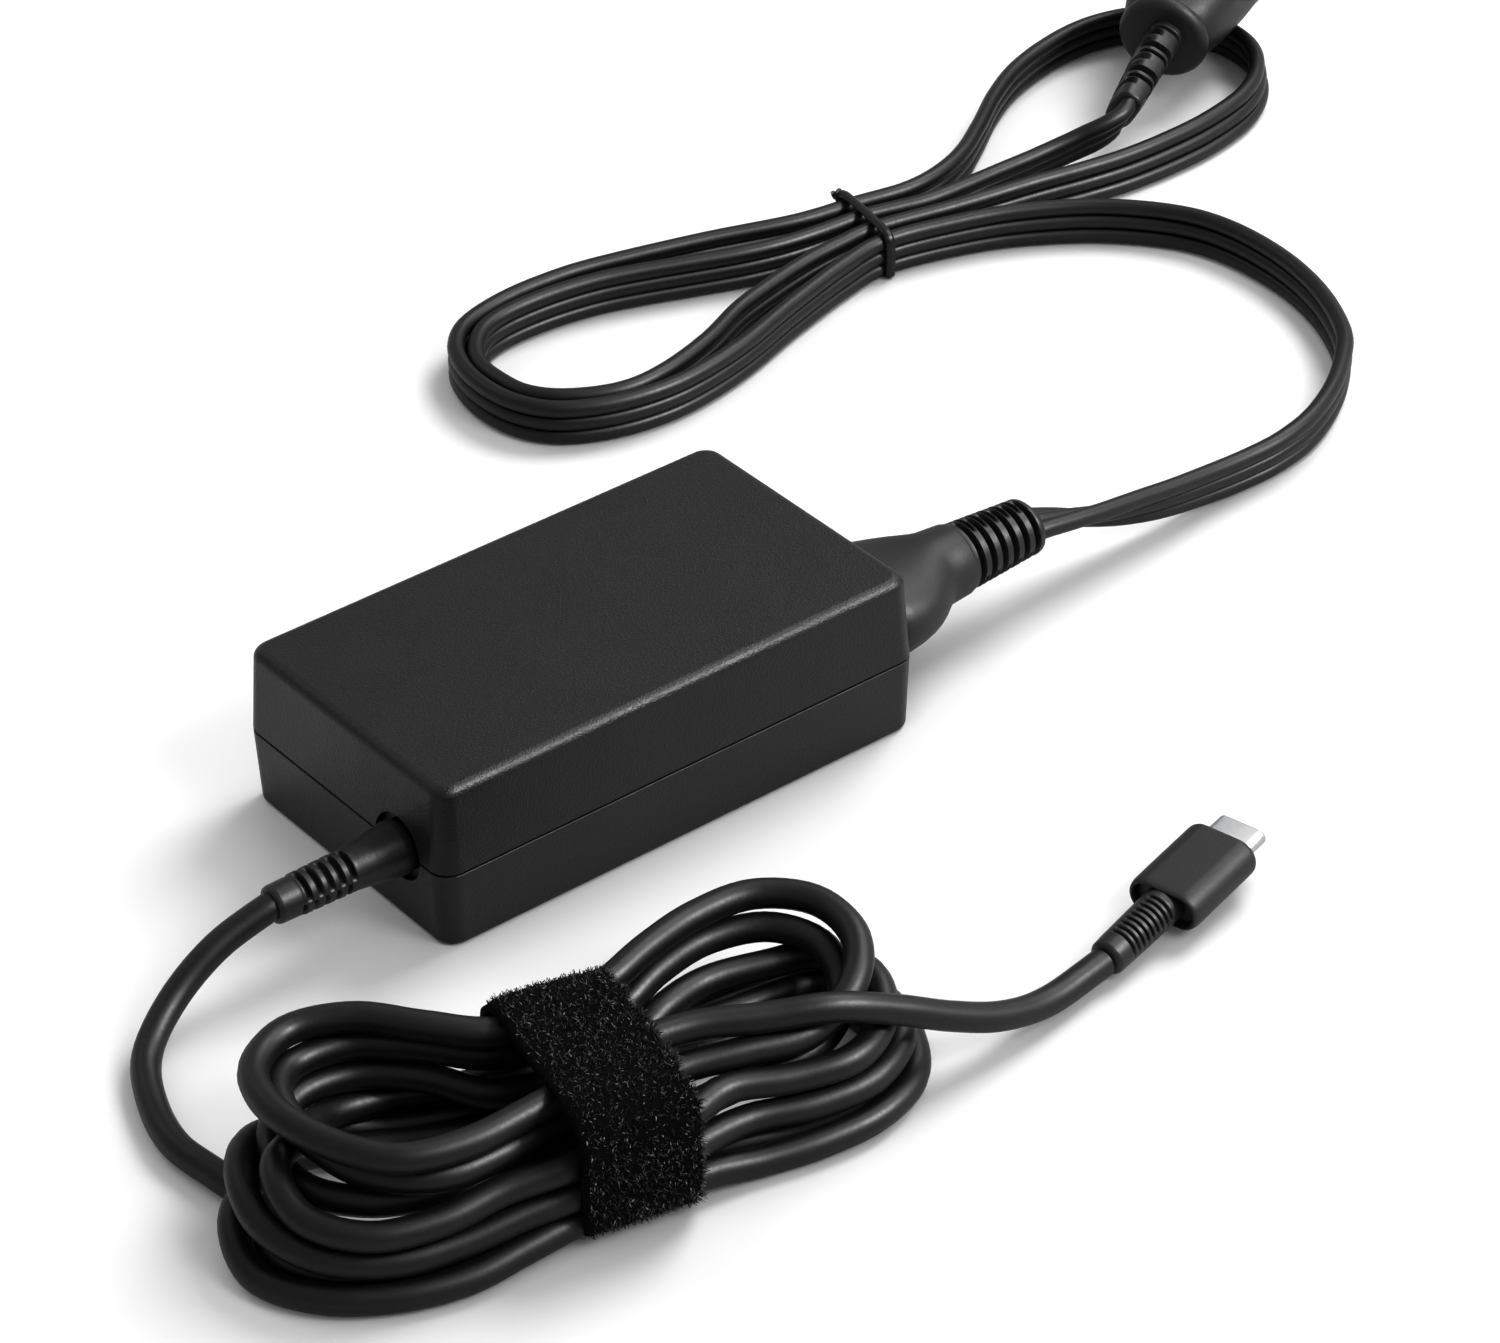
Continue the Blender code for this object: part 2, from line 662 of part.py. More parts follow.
def make_usb_plug(rubber, plastic, steel, contact):
    level = math.cos(USB_TILT)
    direction = (math.cos(USB_TURN) * level, math.sin(USB_TURN) * level, math.sin(USB_TILT))
    sections = [(0.0, round_profile(5.6)), (2.2, round_profile(5.9))]
    sections += [(2.2, round_profile(4.9)), (2.9, round_profile(4.9))]
    sections += ribbed(2.9, 12.8, 7, 5.9, 6.4, round_profile)
    sections += [(12.8, round_profile(5.4)), (USB_RELIEF_LENGTH, round_profile(5.4))]
    along_axis("usb_c_strain_relief", USB_START, direction, sections, rubber, 50)
    body = [
        (USB_RELIEF_LENGTH + GAP, round_rect(9.2, 5.4, 2.6)),
        (14.7, round_rect(11.8, 6.3, 3.0)),
        (16.0, round_rect(*USB_OVERMOULD, 3.2)),
        (USB_OVERMOULD_END - 0.8, round_rect(*USB_OVERMOULD, 3.2)),
        (USB_OVERMOULD_END, round_rect(11.9, 6.1, 3.0)),
    ]
    along_axis("usb_c_overmould", USB_START, direction, body, plastic, 50)
    start = Vector(USB_START) + Vector(direction).normalized() * (USB_OVERMOULD_END + GAP)
    outer = round_rect(*USB_SHELL, 1.25)
    inner = round_rect(*(side - 2 * USB_SHELL_WALL for side in USB_SHELL), 0.95)
    shell = [(0.0, outer), (USB_SHELL_LENGTH - 0.1, outer), (USB_SHELL_LENGTH, inner), (0.9, inner)]
    along_axis("usb_c_shell", start, direction, shell, steel, 50)
    tongue = [(1.2, round_rect(6.7, 0.7, 0.3)), (4.4, round_rect(6.7, 0.7, 0.3))]
    along_axis("usb_c_contact_tongue", start, direction, tongue, contact)


# Mains lead


def match_angles(outline, wanted):
    """The outline's points at the wanted points' angles, so that a skin between the two doesn't twist."""
    matched = []
    for across, up in wanted:
        angle = math.atan2(up, across)
        best = min(outline, key=lambda p: abs(math.remainder(math.atan2(p[1], p[0]) - angle, math.tau)))
        matched.append(best)
    return matched


def make_connector(plastic, rubber, brass):
    centre = (0.0, INLET_Y, INLET_Z)
    nose = nose_profile(0.0)
    nose_tip = CONNECTOR_FACE_X - NOSE_LENGTH
    # Past the case: (x, width, height, squareness)
    swell = (
        (CONNECTOR_FACE_X, 24.2, 12.8, 2.6),
        (CONNECTOR_FACE_X + 0.8, 25.0, 13.6, 2.6),
        (50.0, 24.8, 13.2, 2.4),
        (53.4, 23.4, 12.4, 2.3),
        (57.2, 19.6, 12.6, 2.2),
        (59.8, 15.8, 12.6, 2.1),
        (61.4, 13.4, 12.6, 2.0),
        (66.6, 12.2, 12.0, 2.0),
    )
    sections = [(nose_tip, nose), (CONNECTOR_FACE_X, nose)]
    for x, width, height, power in swell:
        sections.append((x, match_angles(superellipse(width, height, power, len(nose) * 4), nose)))
    body = along_axis("c5_connector_body", centre, (1, 0, 0), sections, plastic, 35)
    before_tip = nose_tip - 1.0
    hole_floor = CONNECTOR_FACE_X - 0.4
    contact_start = nose_tip + 0.8
    contact_length = hole_floor - GAP - contact_start
    bore_length = 9.4
    for name, (across, up) in PIN_PLACES.items():
        place_at = (before_tip, INLET_Y + across, INLET_Z + up)
        hole_outline = [(0.0, SOCKET_RADIUS), (hole_floor - before_tip, SOCKET_RADIUS)]
        hole = turned(f"socket_cutter_{name}", place_at, hole_outline, None, (1, 0, 0), 12)
        cut(body, as_cutter(hole))
        contact_outline = [(0.0, CONTACT_RADIUS), (contact_length, CONTACT_RADIUS)]
        contact_at = (contact_start, INLET_Y + across, INLET_Z + up)
        contact = turned(f"c5_contact_{name}", contact_at, contact_outline, brass, (1, 0, 0), 12)
        bore_outline = [(0.0, CONTACT_BORE), (bore_length, CONTACT_BORE)]
        bore = turned(f"contact_cutter_{name}", place_at, bore_outline, None, (1, 0, 0), 12)
        cut(contact, as_cutter(bore))
    sections = [
        (66.6 + GAP, superellipse(11.6, 11.4, 2.0, 20)),
        (C5_RELIEF_START, superellipse(11.2, 11.0, 2.0, 20)),
    ]
    for rib in range(C5_RIBS):
        near = C5_RELIEF_START + rib * C5_RIB_PITCH
        past_groove = near + C5_RIB_PITCH * 0.4
        past_rib = near + C5_RIB_PITCH
        share = (rib + 1) / C5_RIBS
        width = 11.0 - 1.0 * share
        height = 10.8 - 1.4 * share
        groove = superellipse(width - 1.8, height - 1.8, 2.0, 20)
        ring = superellipse(width, height, 2.0, 20)
        sections += [(near, groove), (past_groove, groove), (past_groove, ring), (past_rib, ring)]
    end = C5_RELIEF_START + C5_RIBS * C5_RIB_PITCH
    sections += [(end + 0.7, superellipse(8.8, 7.6, 2.2, 20))]
    along_axis("c5_strain_relief", centre, (1, 0, 0), sections, rubber, 45)


# The flat cord from the connector to the tie
MAINS_FREE_ROUTE = (
    (83.4, -9.8, 13.7),
    (90.5, -9.9, 11.8),
    (96.5, -10.0, 10.0),
    (104.8, -10.0, 7.9),
    (113.2, -9.9, 6.2),
    (122.5, -9.4, 4.8),
    (131.0, -9.2, 4.1),
    (138.8, -9.0, 4.1),
    (147.6, -7.2, 4.15),
    (156.6, -3.0, 4.15),
    (164.6, 2.6, ON_EDGE_Z),
    (171.0, 9.0, ON_EDGE_Z),
    (176.9, 20.4, ON_EDGE_Z),
    (180.1, 33.0, ON_EDGE_Z),
    (180.2, 46.6, ON_EDGE_Z),
    (176.7, 57.1, ON_EDGE_Z),
    (167.6, 67.9, ON_EDGE_Z),
    (155.7, 76.0, ON_EDGE_Z),
    (144.4, 80.6, ON_EDGE_Z),
    (132.9, 83.1, ON_EDGE_Z),
)
# Share of the length, roll in degrees: the cord leaves its plug flat and turns on edge on its way down.
MAINS_FREE_ROLLS = (
    (0.0, -8.0),
    (0.03, -30.0),
    (0.1, -44.0),
    (0.17, -54.0),
    (0.22, -70.0),
    (0.28, -78.0),
    (0.36, -86.0),
    (0.5, -88.0),
    (0.7, -80.0),
    (0.85, -76.0),
    (1.0, -90.0),
)

# Round the right lobe and back to the tie
RIGHT_LOBE_ROUTE = (
    (137.3, 96.6, ON_EDGE_Z),
    (145.0, 95.6, ON_EDGE_Z),
    (153.6, 96.6, ON_EDGE_Z),
    (162.0, 99.8, ON_EDGE_Z),
    (171.0, 105.6, ON_EDGE_Z),
    (180.6, 112.4, ON_EDGE_Z),
    (191.0, 118.0, ON_EDGE_Z),
    (203.0, 121.5, ON_EDGE_Z),
    (213.4, 122.2, ON_EDGE_Z),
    (222.6, 119.6, ON_EDGE_Z),
    (229.4, 113.4, ON_EDGE_Z),
    (232.4, 104.6, ON_EDGE_Z),
    (231.0, 95.2, ON_EDGE_Z),
    (225.2, 87.4, ON_EDGE_Z),
    (216.6, 82.0, ON_EDGE_Z),
    (205.0, 79.1, ON_EDGE_Z),
    (194.0, 78.3, ON_EDGE_Z),
    (183.8, 78.6, ON_EDGE_Z),
    (174.4, 80.0, ON_EDGE_Z),
    (164.0, 82.2, ON_EDGE_Z),
    (149.0, 84.8, ON_EDGE_Z),
    (134.4, 87.6, ON_EDGE_Z),
)
RIGHT_LOBE_ROLLS = (
    (0.0, -90.0),
    (0.15, -84.0),
    (0.35, -80.0),
    (0.6, -80.0),
    (0.75, -74.0),
    (0.88, -80.0),
    (1.0, -90.0),
)

# From the tie to the mains plug
PLUG_STRAND_ROUTE = (
    (135.9, 92.1, ON_EDGE_Z),
    (145.0, 90.6, ON_EDGE_Z),
    (154.0, 90.6, ON_EDGE_Z),
    (162.4, 91.0, 4.1),
    (169.8, 91.0, 4.2),
    (175.6, 90.4, 4.8),
    (180.6, 89.0, 6.1),
    (184.2, 87.3, 7.6),
    (186.8, 86.6, 8.6),
    (188.8, 86.7, 9.2),
)
PLUG_STRAND_ROLLS = ((0.0, -90.0), (0.2, -80.0), (0.5, -52.0), (0.75, -42.0), (1.0, -14.0))

# The left lobe's outline, from its near side round to its far side
LOBE_OUTLINE = (
    (119.8, 80.5),
    (104.8, 76.2),
    (89.3, 71.0),
    (76.2, 68.4),
    (66.4, 68.5),
    (57.6, 70.8),
    (50.2, 75.4),
    (46.0, 82.2),
    (44.8, 89.8),
    (45.8, 97.6),
    (49.2, 105.0),
    (55.6, 110.4),
    (66.0, 112.9),
    (77.4, 113.0),
    (87.6, 111.4),
    (106.3, 106.4),
    (123.1, 100.4),
)
# The four strands in the tie: how far they run to each side of it, and half their width together
WAIST_LEFT = 3.0
WAIST_RIGHT = 1.9
TIE_AT = Vector((132.7, 90.6))
TIE_ACROSS = Vector((0.31, 0.95)).normalized()
TIE_ALONG = Vector((TIE_ACROSS.y, -TIE_ACROSS.x))
TIE_HALF_WIDTH = 8.8
TIE_THICKNESS = 0.9
TIE_HALF_LENGTH = 0.9


def make_mains_cord(cord):
    flat_tube("mains_cord_from_connector", MAINS_FREE_ROUTE, MAINS_FREE_ROLLS, cord)
    flat_tube("mains_cord_right_lobe", RIGHT_LOBE_ROUTE, RIGHT_LOBE_ROLLS, cord)
    flat_tube("mains_cord_to_plug", PLUG_STRAND_ROUTE, PLUG_STRAND_ROLLS, cord, 6.0)
    half = TIE_HALF_WIDTH
    corners = [
        TIE_AT - TIE_ALONG * WAIST_LEFT + TIE_ACROSS * half,
        TIE_AT + TIE_ALONG * WAIST_RIGHT + TIE_ACROSS * half,
        TIE_AT + TIE_ALONG * WAIST_RIGHT - TIE_ACROSS * half,
        TIE_AT - TIE_ALONG * WAIST_LEFT - TIE_ACROSS * half,
    ]
    lobe = smooth_route([(x, y, 0.0) for x, y in LOBE_OUTLINE], 7.0)
    flat = [(p.x, p.y) for p in lobe + corners]
    rings = [[(x, y, z) for x, y in flat] for z in (TABLE, TABLE + MAINS_WIDTH)]
    skin("mains_cord_hank", rings, cord, 50)


def make_tie(look):
    """A band round the four strands, open where the table is."""
    rings = []
    lift = TABLE + MAINS_WIDTH / 2
    for far, thickness in (
        (-TIE_HALF_LENGTH, 0.0),
        (-TIE_HALF_LENGTH, TIE_THICKNESS),
        (TIE_HALF_LENGTH, TIE_THICKNESS),
        (TIE_HALF_LENGTH, 0.0),
    ):
        width = 2 * TIE_HALF_WIDTH + 0.7 + 2 * thickness
        height = MAINS_WIDTH + 0.6 + 2 * thickness
        ring = []
        for a, b in round_rect(width, height, 0.8 + thickness):
            flat = TIE_AT + TIE_ALONG * far + TIE_ACROSS * a
            ring.append(Vector((flat.x, flat.y, max(lift + b, 0.02))))
        rings.append(ring)
    skin("cord_tie", rings, look, 50, joined=True)


def make_mains_plug(plastic, rubber, nickel):
    along, across, up = axes_of(PLUG_DIRECTION)
    sections = [(0.0, round_rect(8.4, 5.2, 2.2)), (PLUG_RELIEF_START, round_rect(9.0, 6.0, 2.6))]
    for rib in range(PLUG_RIBS):
        share = (rib + 1) / PLUG_RIBS
        ring = round_rect(8.8 + 0.6 * share, 6.2 + 1.6 * share, 2.6)
        groove = round_rect(7.4 + 0.6 * share, 4.8 + 1.6 * share, 2.0)
        near = PLUG_RELIEF_START + rib * PLUG_RIB_PITCH
        past_groove = near + 1.1
        past_rib = near + PLUG_RIB_PITCH
        sections += [(near, groove), (past_groove, groove), (past_groove, ring), (past_rib, ring)]
    along_axis("mains_plug_strain_relief", PLUG_START, PLUG_DIRECTION, sections, rubber, 45)
    start = PLUG_RELIEF_START + PLUG_RIBS * PLUG_RIB_PITCH + GAP
    # A disc flange, then the body
    body = [
        (start, superellipse(15.4, 15.4, 2.0, 28)),
        (start + 0.7, superellipse(17.0, 17.0, 2.0, 28)),
        (start + 1.9, superellipse(17.4, 17.4, 2.0, 28)),
        (start + 2.5, superellipse(17.0, 17.0, 2.0, 28)),
        (start + 3.1, superellipse(17.4, 15.4, 2.3, 28)),
        (start + 9.0, superellipse(19.8, 16.6, 2.6, 28)),
        (start + 18.0, superellipse(22.6, 17.8, 3.0, 28)),
        (start + 25.6, superellipse(24.4, 18.6, 3.3, 28)),
        (start + PLUG_BODY_LENGTH, superellipse(23.6, 17.8, 3.3, 28)),
    ]
    along_axis("mains_plug_body", PLUG_START, PLUG_DIRECTION, body, plastic, 40)
    face = Vector(PLUG_START) + along * (start + PLUG_BODY_LENGTH + GAP)
    for name, side in (("line", 1), ("neutral", -1)):
        centre = face + across * (BLADE_SPACING / 2) * side - up * BLADE_DROP
        blade = [
            (0.0, round_rect(BLADE_THICKNESS, BLADE_WIDTH, 0.3, 1)),
            (BLADE_LENGTH - 1.7, round_rect(BLADE_THICKNESS, BLADE_WIDTH, 0.3, 1)),
            (BLADE_LENGTH, round_rect(1.0, 4.6, 0.3, 1)),
        ]
        along_axis(f"mains_plug_blade_{name}", centre, along, blade, nickel)
    pin = [
        (0.0, GROUND_RADIUS),
        (GROUND_LENGTH - 2.4, GROUND_RADIUS),
        (GROUND_LENGTH - 0.8, 1.9),
        (GROUND_LENGTH, 1.0),
    ]
    turned("mains_plug_ground_pin", face + up * GROUND_RISE, pin, nickel, along, 14)


def main():
    clear_scene()
    case_plastic = material("case_plastic", (0.022, 0.022, 0.024), 0.55)
    moulded = material("moulded_plastic", (0.016, 0.016, 0.017), 0.5)
    rubber = material("moulded_rubber", (0.014, 0.014, 0.015), 0.6)
    cord = material("cord_jacket", (0.012, 0.012, 0.013), 0.5)
    fabric = material("strap_fabric", (0.013, 0.013, 0.014), 0.95)
    tie = material("tie_plastic", (0.01, 0.01, 0.011), 0.45)
    brass = material("contact_brass", (0.72, 0.55, 0.28), 0.3, 1.0)
    nickel = material("blade_nickel", (0.62, 0.6, 0.56), 0.3, 1.0)
    steel = material("plug_steel", (0.66, 0.67, 0.69), 0.25, 1.0)
    contact = material("contact_tongue_plastic", (0.1, 0.1, 0.1), 0.5)
    inside = {
        "board": material("board", (0.03, 0.16, 0.07), 0.5),
        "ceramic": material("ceramic", (0.72, 0.7, 0.64), 0.4),
        "yellow": material("film_capacitor", (0.75, 0.6, 0.12), 0.45),
        "ferrite": material("ferrite", (0.05, 0.05, 0.052), 0.7),
        "copper": material("enamelled_copper", (0.6, 0.24, 0.08), 0.35, 1.0),
        "black": material("semiconductor", (0.02, 0.02, 0.02), 0.5),
        "sleeve": material("capacitor_sleeve", (0.03, 0.04, 0.09), 0.4),
        "metal": material("sink_metal", (0.72, 0.73, 0.74), 0.35, 1.0),
        "blue": material("ceramic_disc", (0.06, 0.16, 0.42), 0.5),
        "white": material("white_plastic", (0.8, 0.8, 0.78), 0.5),
        "tape": material("winding_tape", (0.78, 0.62, 0.1), 0.5),
        "green": material("thermistor", (0.05, 0.24, 0.1), 0.5),
    }
    make_shells(case_plastic)
    make_inlet(moulded, brass)
    make_board_parts(inside)
    make_dc_relief(rubber)
    make_dc_cord(cord)
    make_strap(fabric)
    make_usb_plug(rubber, moulded, steel, contact)
    make_connector(moulded, rubber, brass)
    make_mains_cord(cord)
    make_tie(tie)
    make_mains_plug(moulded, rubber, nickel)


main()
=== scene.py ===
import json
import math
import random

import bmesh
import bpy
from mathutils import Matrix, Vector


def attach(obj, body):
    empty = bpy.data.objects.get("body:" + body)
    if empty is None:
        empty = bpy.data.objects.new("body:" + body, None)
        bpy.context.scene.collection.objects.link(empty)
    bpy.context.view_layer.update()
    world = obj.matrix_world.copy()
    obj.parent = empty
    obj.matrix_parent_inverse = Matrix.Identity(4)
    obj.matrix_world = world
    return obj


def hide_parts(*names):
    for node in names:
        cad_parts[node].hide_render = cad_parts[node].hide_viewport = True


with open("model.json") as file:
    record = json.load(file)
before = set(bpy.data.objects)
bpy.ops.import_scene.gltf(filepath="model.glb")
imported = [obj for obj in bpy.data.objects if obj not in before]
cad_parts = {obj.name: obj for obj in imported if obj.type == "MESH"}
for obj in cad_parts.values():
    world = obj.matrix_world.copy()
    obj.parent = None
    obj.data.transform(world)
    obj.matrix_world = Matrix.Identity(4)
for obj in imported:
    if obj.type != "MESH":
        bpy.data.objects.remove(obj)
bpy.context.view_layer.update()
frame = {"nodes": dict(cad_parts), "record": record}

MM = 0.001
TABLE = 0.1


# Camera, at the angle the object is seen from: place in metres, angles in degrees, lens in millimetres

VIEW_PLACE = (-0.37077, -0.51541, 0.46155)
VIEW_AZIMUTH = -38.0386
VIEW_ELEVATION = 35.0708
VIEW_ROLL = -1.0217
VIEW_LENS = 121.04
SENSOR_WIDTH = 36.0


def make_camera():
    data = bpy.data.cameras.new("view")
    data.sensor_width = SENSOR_WIDTH
    data.lens = VIEW_LENS
    data.clip_start = 0.01
    data.clip_end = 20.0
    made = bpy.data.objects.new("view", data)
    bpy.context.scene.collection.objects.link(made)
    azimuth = math.radians(VIEW_AZIMUTH)
    elevation = math.radians(VIEW_ELEVATION)
    roll = math.radians(VIEW_ROLL)
    ahead = Vector((-math.sin(azimuth), math.cos(azimuth), 0.0)) * math.cos(elevation)
    ahead.z = -math.sin(elevation)
    level = ahead.cross(Vector((0, 0, 1))).normalized()
    up = level.cross(ahead)
    right = level * math.cos(roll) + up * math.sin(roll)
    up = up * math.cos(roll) - level * math.sin(roll)
    turn = Matrix((right, up, -ahead)).transposed().to_4x4()
    made.matrix_world = Matrix.Translation(VIEW_PLACE) @ turn
    bpy.context.scene.camera = made


make_camera()


# Cord routes, in millimetres: the low-voltage cord from the case round its hank's six turns to its plug

DC_DIAMETER = 4.5
DC_ROUTE = (
    (-66.2, -14.3, 13.3), (-68.0, -14.3, 13.3), (-77.4, -13.9, 10.3), (-86.4, -15.5, 6.1),
    (-94.3, -20.4, 3.0), (-99.1, -29.0, 2.3), (-101.6, -38.7, 2.3), (-100.7, -48.6, 2.4),
    (-99.8, -57.5, 2.3), (-103.9, -66.3, 2.3), (-100.7, -75.0, 2.3), (-93.0, -80.9, 2.3),
    (-83.7, -83.6, 2.6), (-73.8, -84.0, 3.4), (-63.9, -85.0, 3.9), (-54.2, -87.1, 3.9),
    (-44.4, -88.1, 3.1), (-34.5, -90.8, 2.3), (-24.8, -92.4, 2.3), (-15.8, -90.2, 2.4),
    (-10.5, -83.3, 2.3), (-10.0, -74.5, 2.3), (-15.9, -67.3, 2.3), (-25.3, -64.7, 2.4),
    (-35.0, -66.4, 2.5), (-44.3, -69.9, 3.6), (-53.9, -68.9, 3.9), (-63.6, -66.6, 3.8),
    (-72.5, -62.4, 3.3), (-81.1, -57.4, 3.2), (-90.0, -53.9, 4.0), (-98.0, -55.7, 6.6),
    (-105.9, -60.1, 5.0), (-108.4, -68.7, 2.4), (-104.2, -77.9, 2.3), (-96.2, -84.2, 2.3),
    (-86.6, -87.7, 2.4), (-76.7, -88.5, 3.2), (-66.8, -89.2, 3.8), (-57.1, -91.3, 3.8),
    (-48.6, -92.0, 3.3), (-40.8, -93.8, 2.3), (-31.1, -96.2, 2.3), (-20.9, -96.7, 2.4),
    (-11.7, -92.8, 2.4), (-5.9, -83.5, 2.4), (-5.8, -72.8, 2.4), (-11.7, -64.7, 2.3), (-20.7, -60.6, 2.3),
    (-30.6, -60.5, 2.5), (-40.1, -63.8, 3.3), (-49.3, -65.2, 3.8), (-59.0, -63.0, 3.8),
    (-68.3, -59.5, 3.1), (-77.0, -54.5, 2.3), (-85.8, -50.7, 4.9), (-95.7, -51.4, 8.8),
    (-103.0, -58.1, 11.3), (-105.9, -67.1, 9.5), (-102.7, -76.0, 7.4), (-95.1, -82.3, 6.5),
    (-85.6, -85.2, 6.6), (-75.8, -87.0, 7.6), (-66.1, -89.4, 8.3), (-56.2, -91.3, 8.2),
    (-47.7, -90.3, 7.7), (-39.6, -90.2, 7.0), (-30.2, -93.3, 6.7), (-20.4, -94.2, 6.8),
    (-11.6, -89.7, 7.0), (-8.0, -81.5, 6.9), (-11.8, -73.2, 6.8), (-20.1, -70.6, 6.7), (-29.7, -69.1, 6.7),
    (-39.3, -66.7, 7.3), (-49.1, -64.9, 8.4), (-59.0, -63.1, 8.4), (-67.7, -59.0, 7.6),
    (-76.2, -53.7, 6.7), (-85.5, -53.5, 8.5), (-92.9, -58.4, 12.1), (-100.8, -63.8, 14.1),
    (-102.6, -72.6, 12.1), (-97.3, -80.5, 11.1), (-88.1, -84.0, 11.0), (-78.3, -85.0, 11.7),
    (-68.9, -87.8, 12.7), (-59.0, -89.1, 12.4), (-49.5, -89.0, 12.1), (-41.4, -87.7, 11.9),
    (-32.7, -90.8, 11.1), (-23.2, -93.1, 11.2), (-14.6, -89.1, 11.1), (-9.6, -80.9, 11.7),
    (-11.8, -72.2, 11.3), (-19.1, -68.7, 11.0), (-28.5, -66.3, 11.2), (-38.1, -67.9, 11.5),
    (-47.2, -70.1, 9.2), (-57.0, -68.2, 8.8), (-66.1, -65.3, 9.7), (-72.1, -57.8, 11.1),
    (-79.6, -51.5, 11.3), (-89.1, -50.8, 11.8), (-96.8, -56.5, 11.0), (-98.1, -66.4, 10.8),
    (-93.0, -74.4, 10.9), (-84.0, -78.5, 10.3), (-74.4, -81.1, 9.4), (-64.7, -83.3, 9.4),
    (-54.8, -84.6, 9.6), (-44.9, -84.6, 8.8), (-34.8, -85.7, 9.3), (-24.9, -86.6, 10.1),
    (-16.7, -82.9, 12.6), (-13.7, -75.0, 15.3), (-16.8, -66.4, 15.3), (-25.6, -62.8, 15.1),
    (-35.4, -64.0, 15.2), (-44.5, -66.1, 13.9), (-54.1, -64.8, 13.2), (-63.8, -62.4, 13.7),
    (-71.3, -56.7, 15.5), (-78.8, -50.0, 15.5), (-88.1, -49.0, 15.8), (-94.1, -55.3, 16.8),
    (-94.9, -65.2, 16.1), (-92.2, -74.3, 15.3), (-84.9, -80.4, 14.9), (-75.1, -81.3, 14.5),
    (-65.1, -81.1, 14.4), (-55.2, -82.4, 14.5), (-45.9, -82.7, 14.6), (-36.9, -85.4, 14.6),
    (-27.4, -88.0, 14.4), (-17.9, -86.1, 16.6), (-11.6, -79.7, 18.7), (-10.8, -70.0, 19.2),
    (-16.9, -62.9, 19.2), (-26.7, -61.7, 19.4), (-36.7, -63.4, 19.6), (-45.6, -65.6, 19.2),
    (-54.7, -66.1, 19.2), (-64.4, -64.2, 19.2), (-71.4, -57.7, 19.9), (-77.8, -49.9, 19.9),
    (-86.4, -46.0, 19.4), (-94.8, -50.4, 19.7), (-98.0, -59.9, 20.4), (-95.7, -69.9, 19.8),
    (-90.3, -78.1, 19.5), (-81.1, -81.2, 19.2), (-71.0, -81.3, 19.1), (-61.1, -80.7, 19.1),
    (-51.2, -79.1, 19.1), (-41.8, -80.6, 18.8), (-32.9, -85.2, 18.6), (-23.8, -89.6, 18.5),
    (-14.4, -92.0, 14.7), (-5.7, -93.7, 10.1), (3.3, -94.5, 6.0), (12.8, -93.8, 3.5), (24.8, -92.0, 3.3),
)

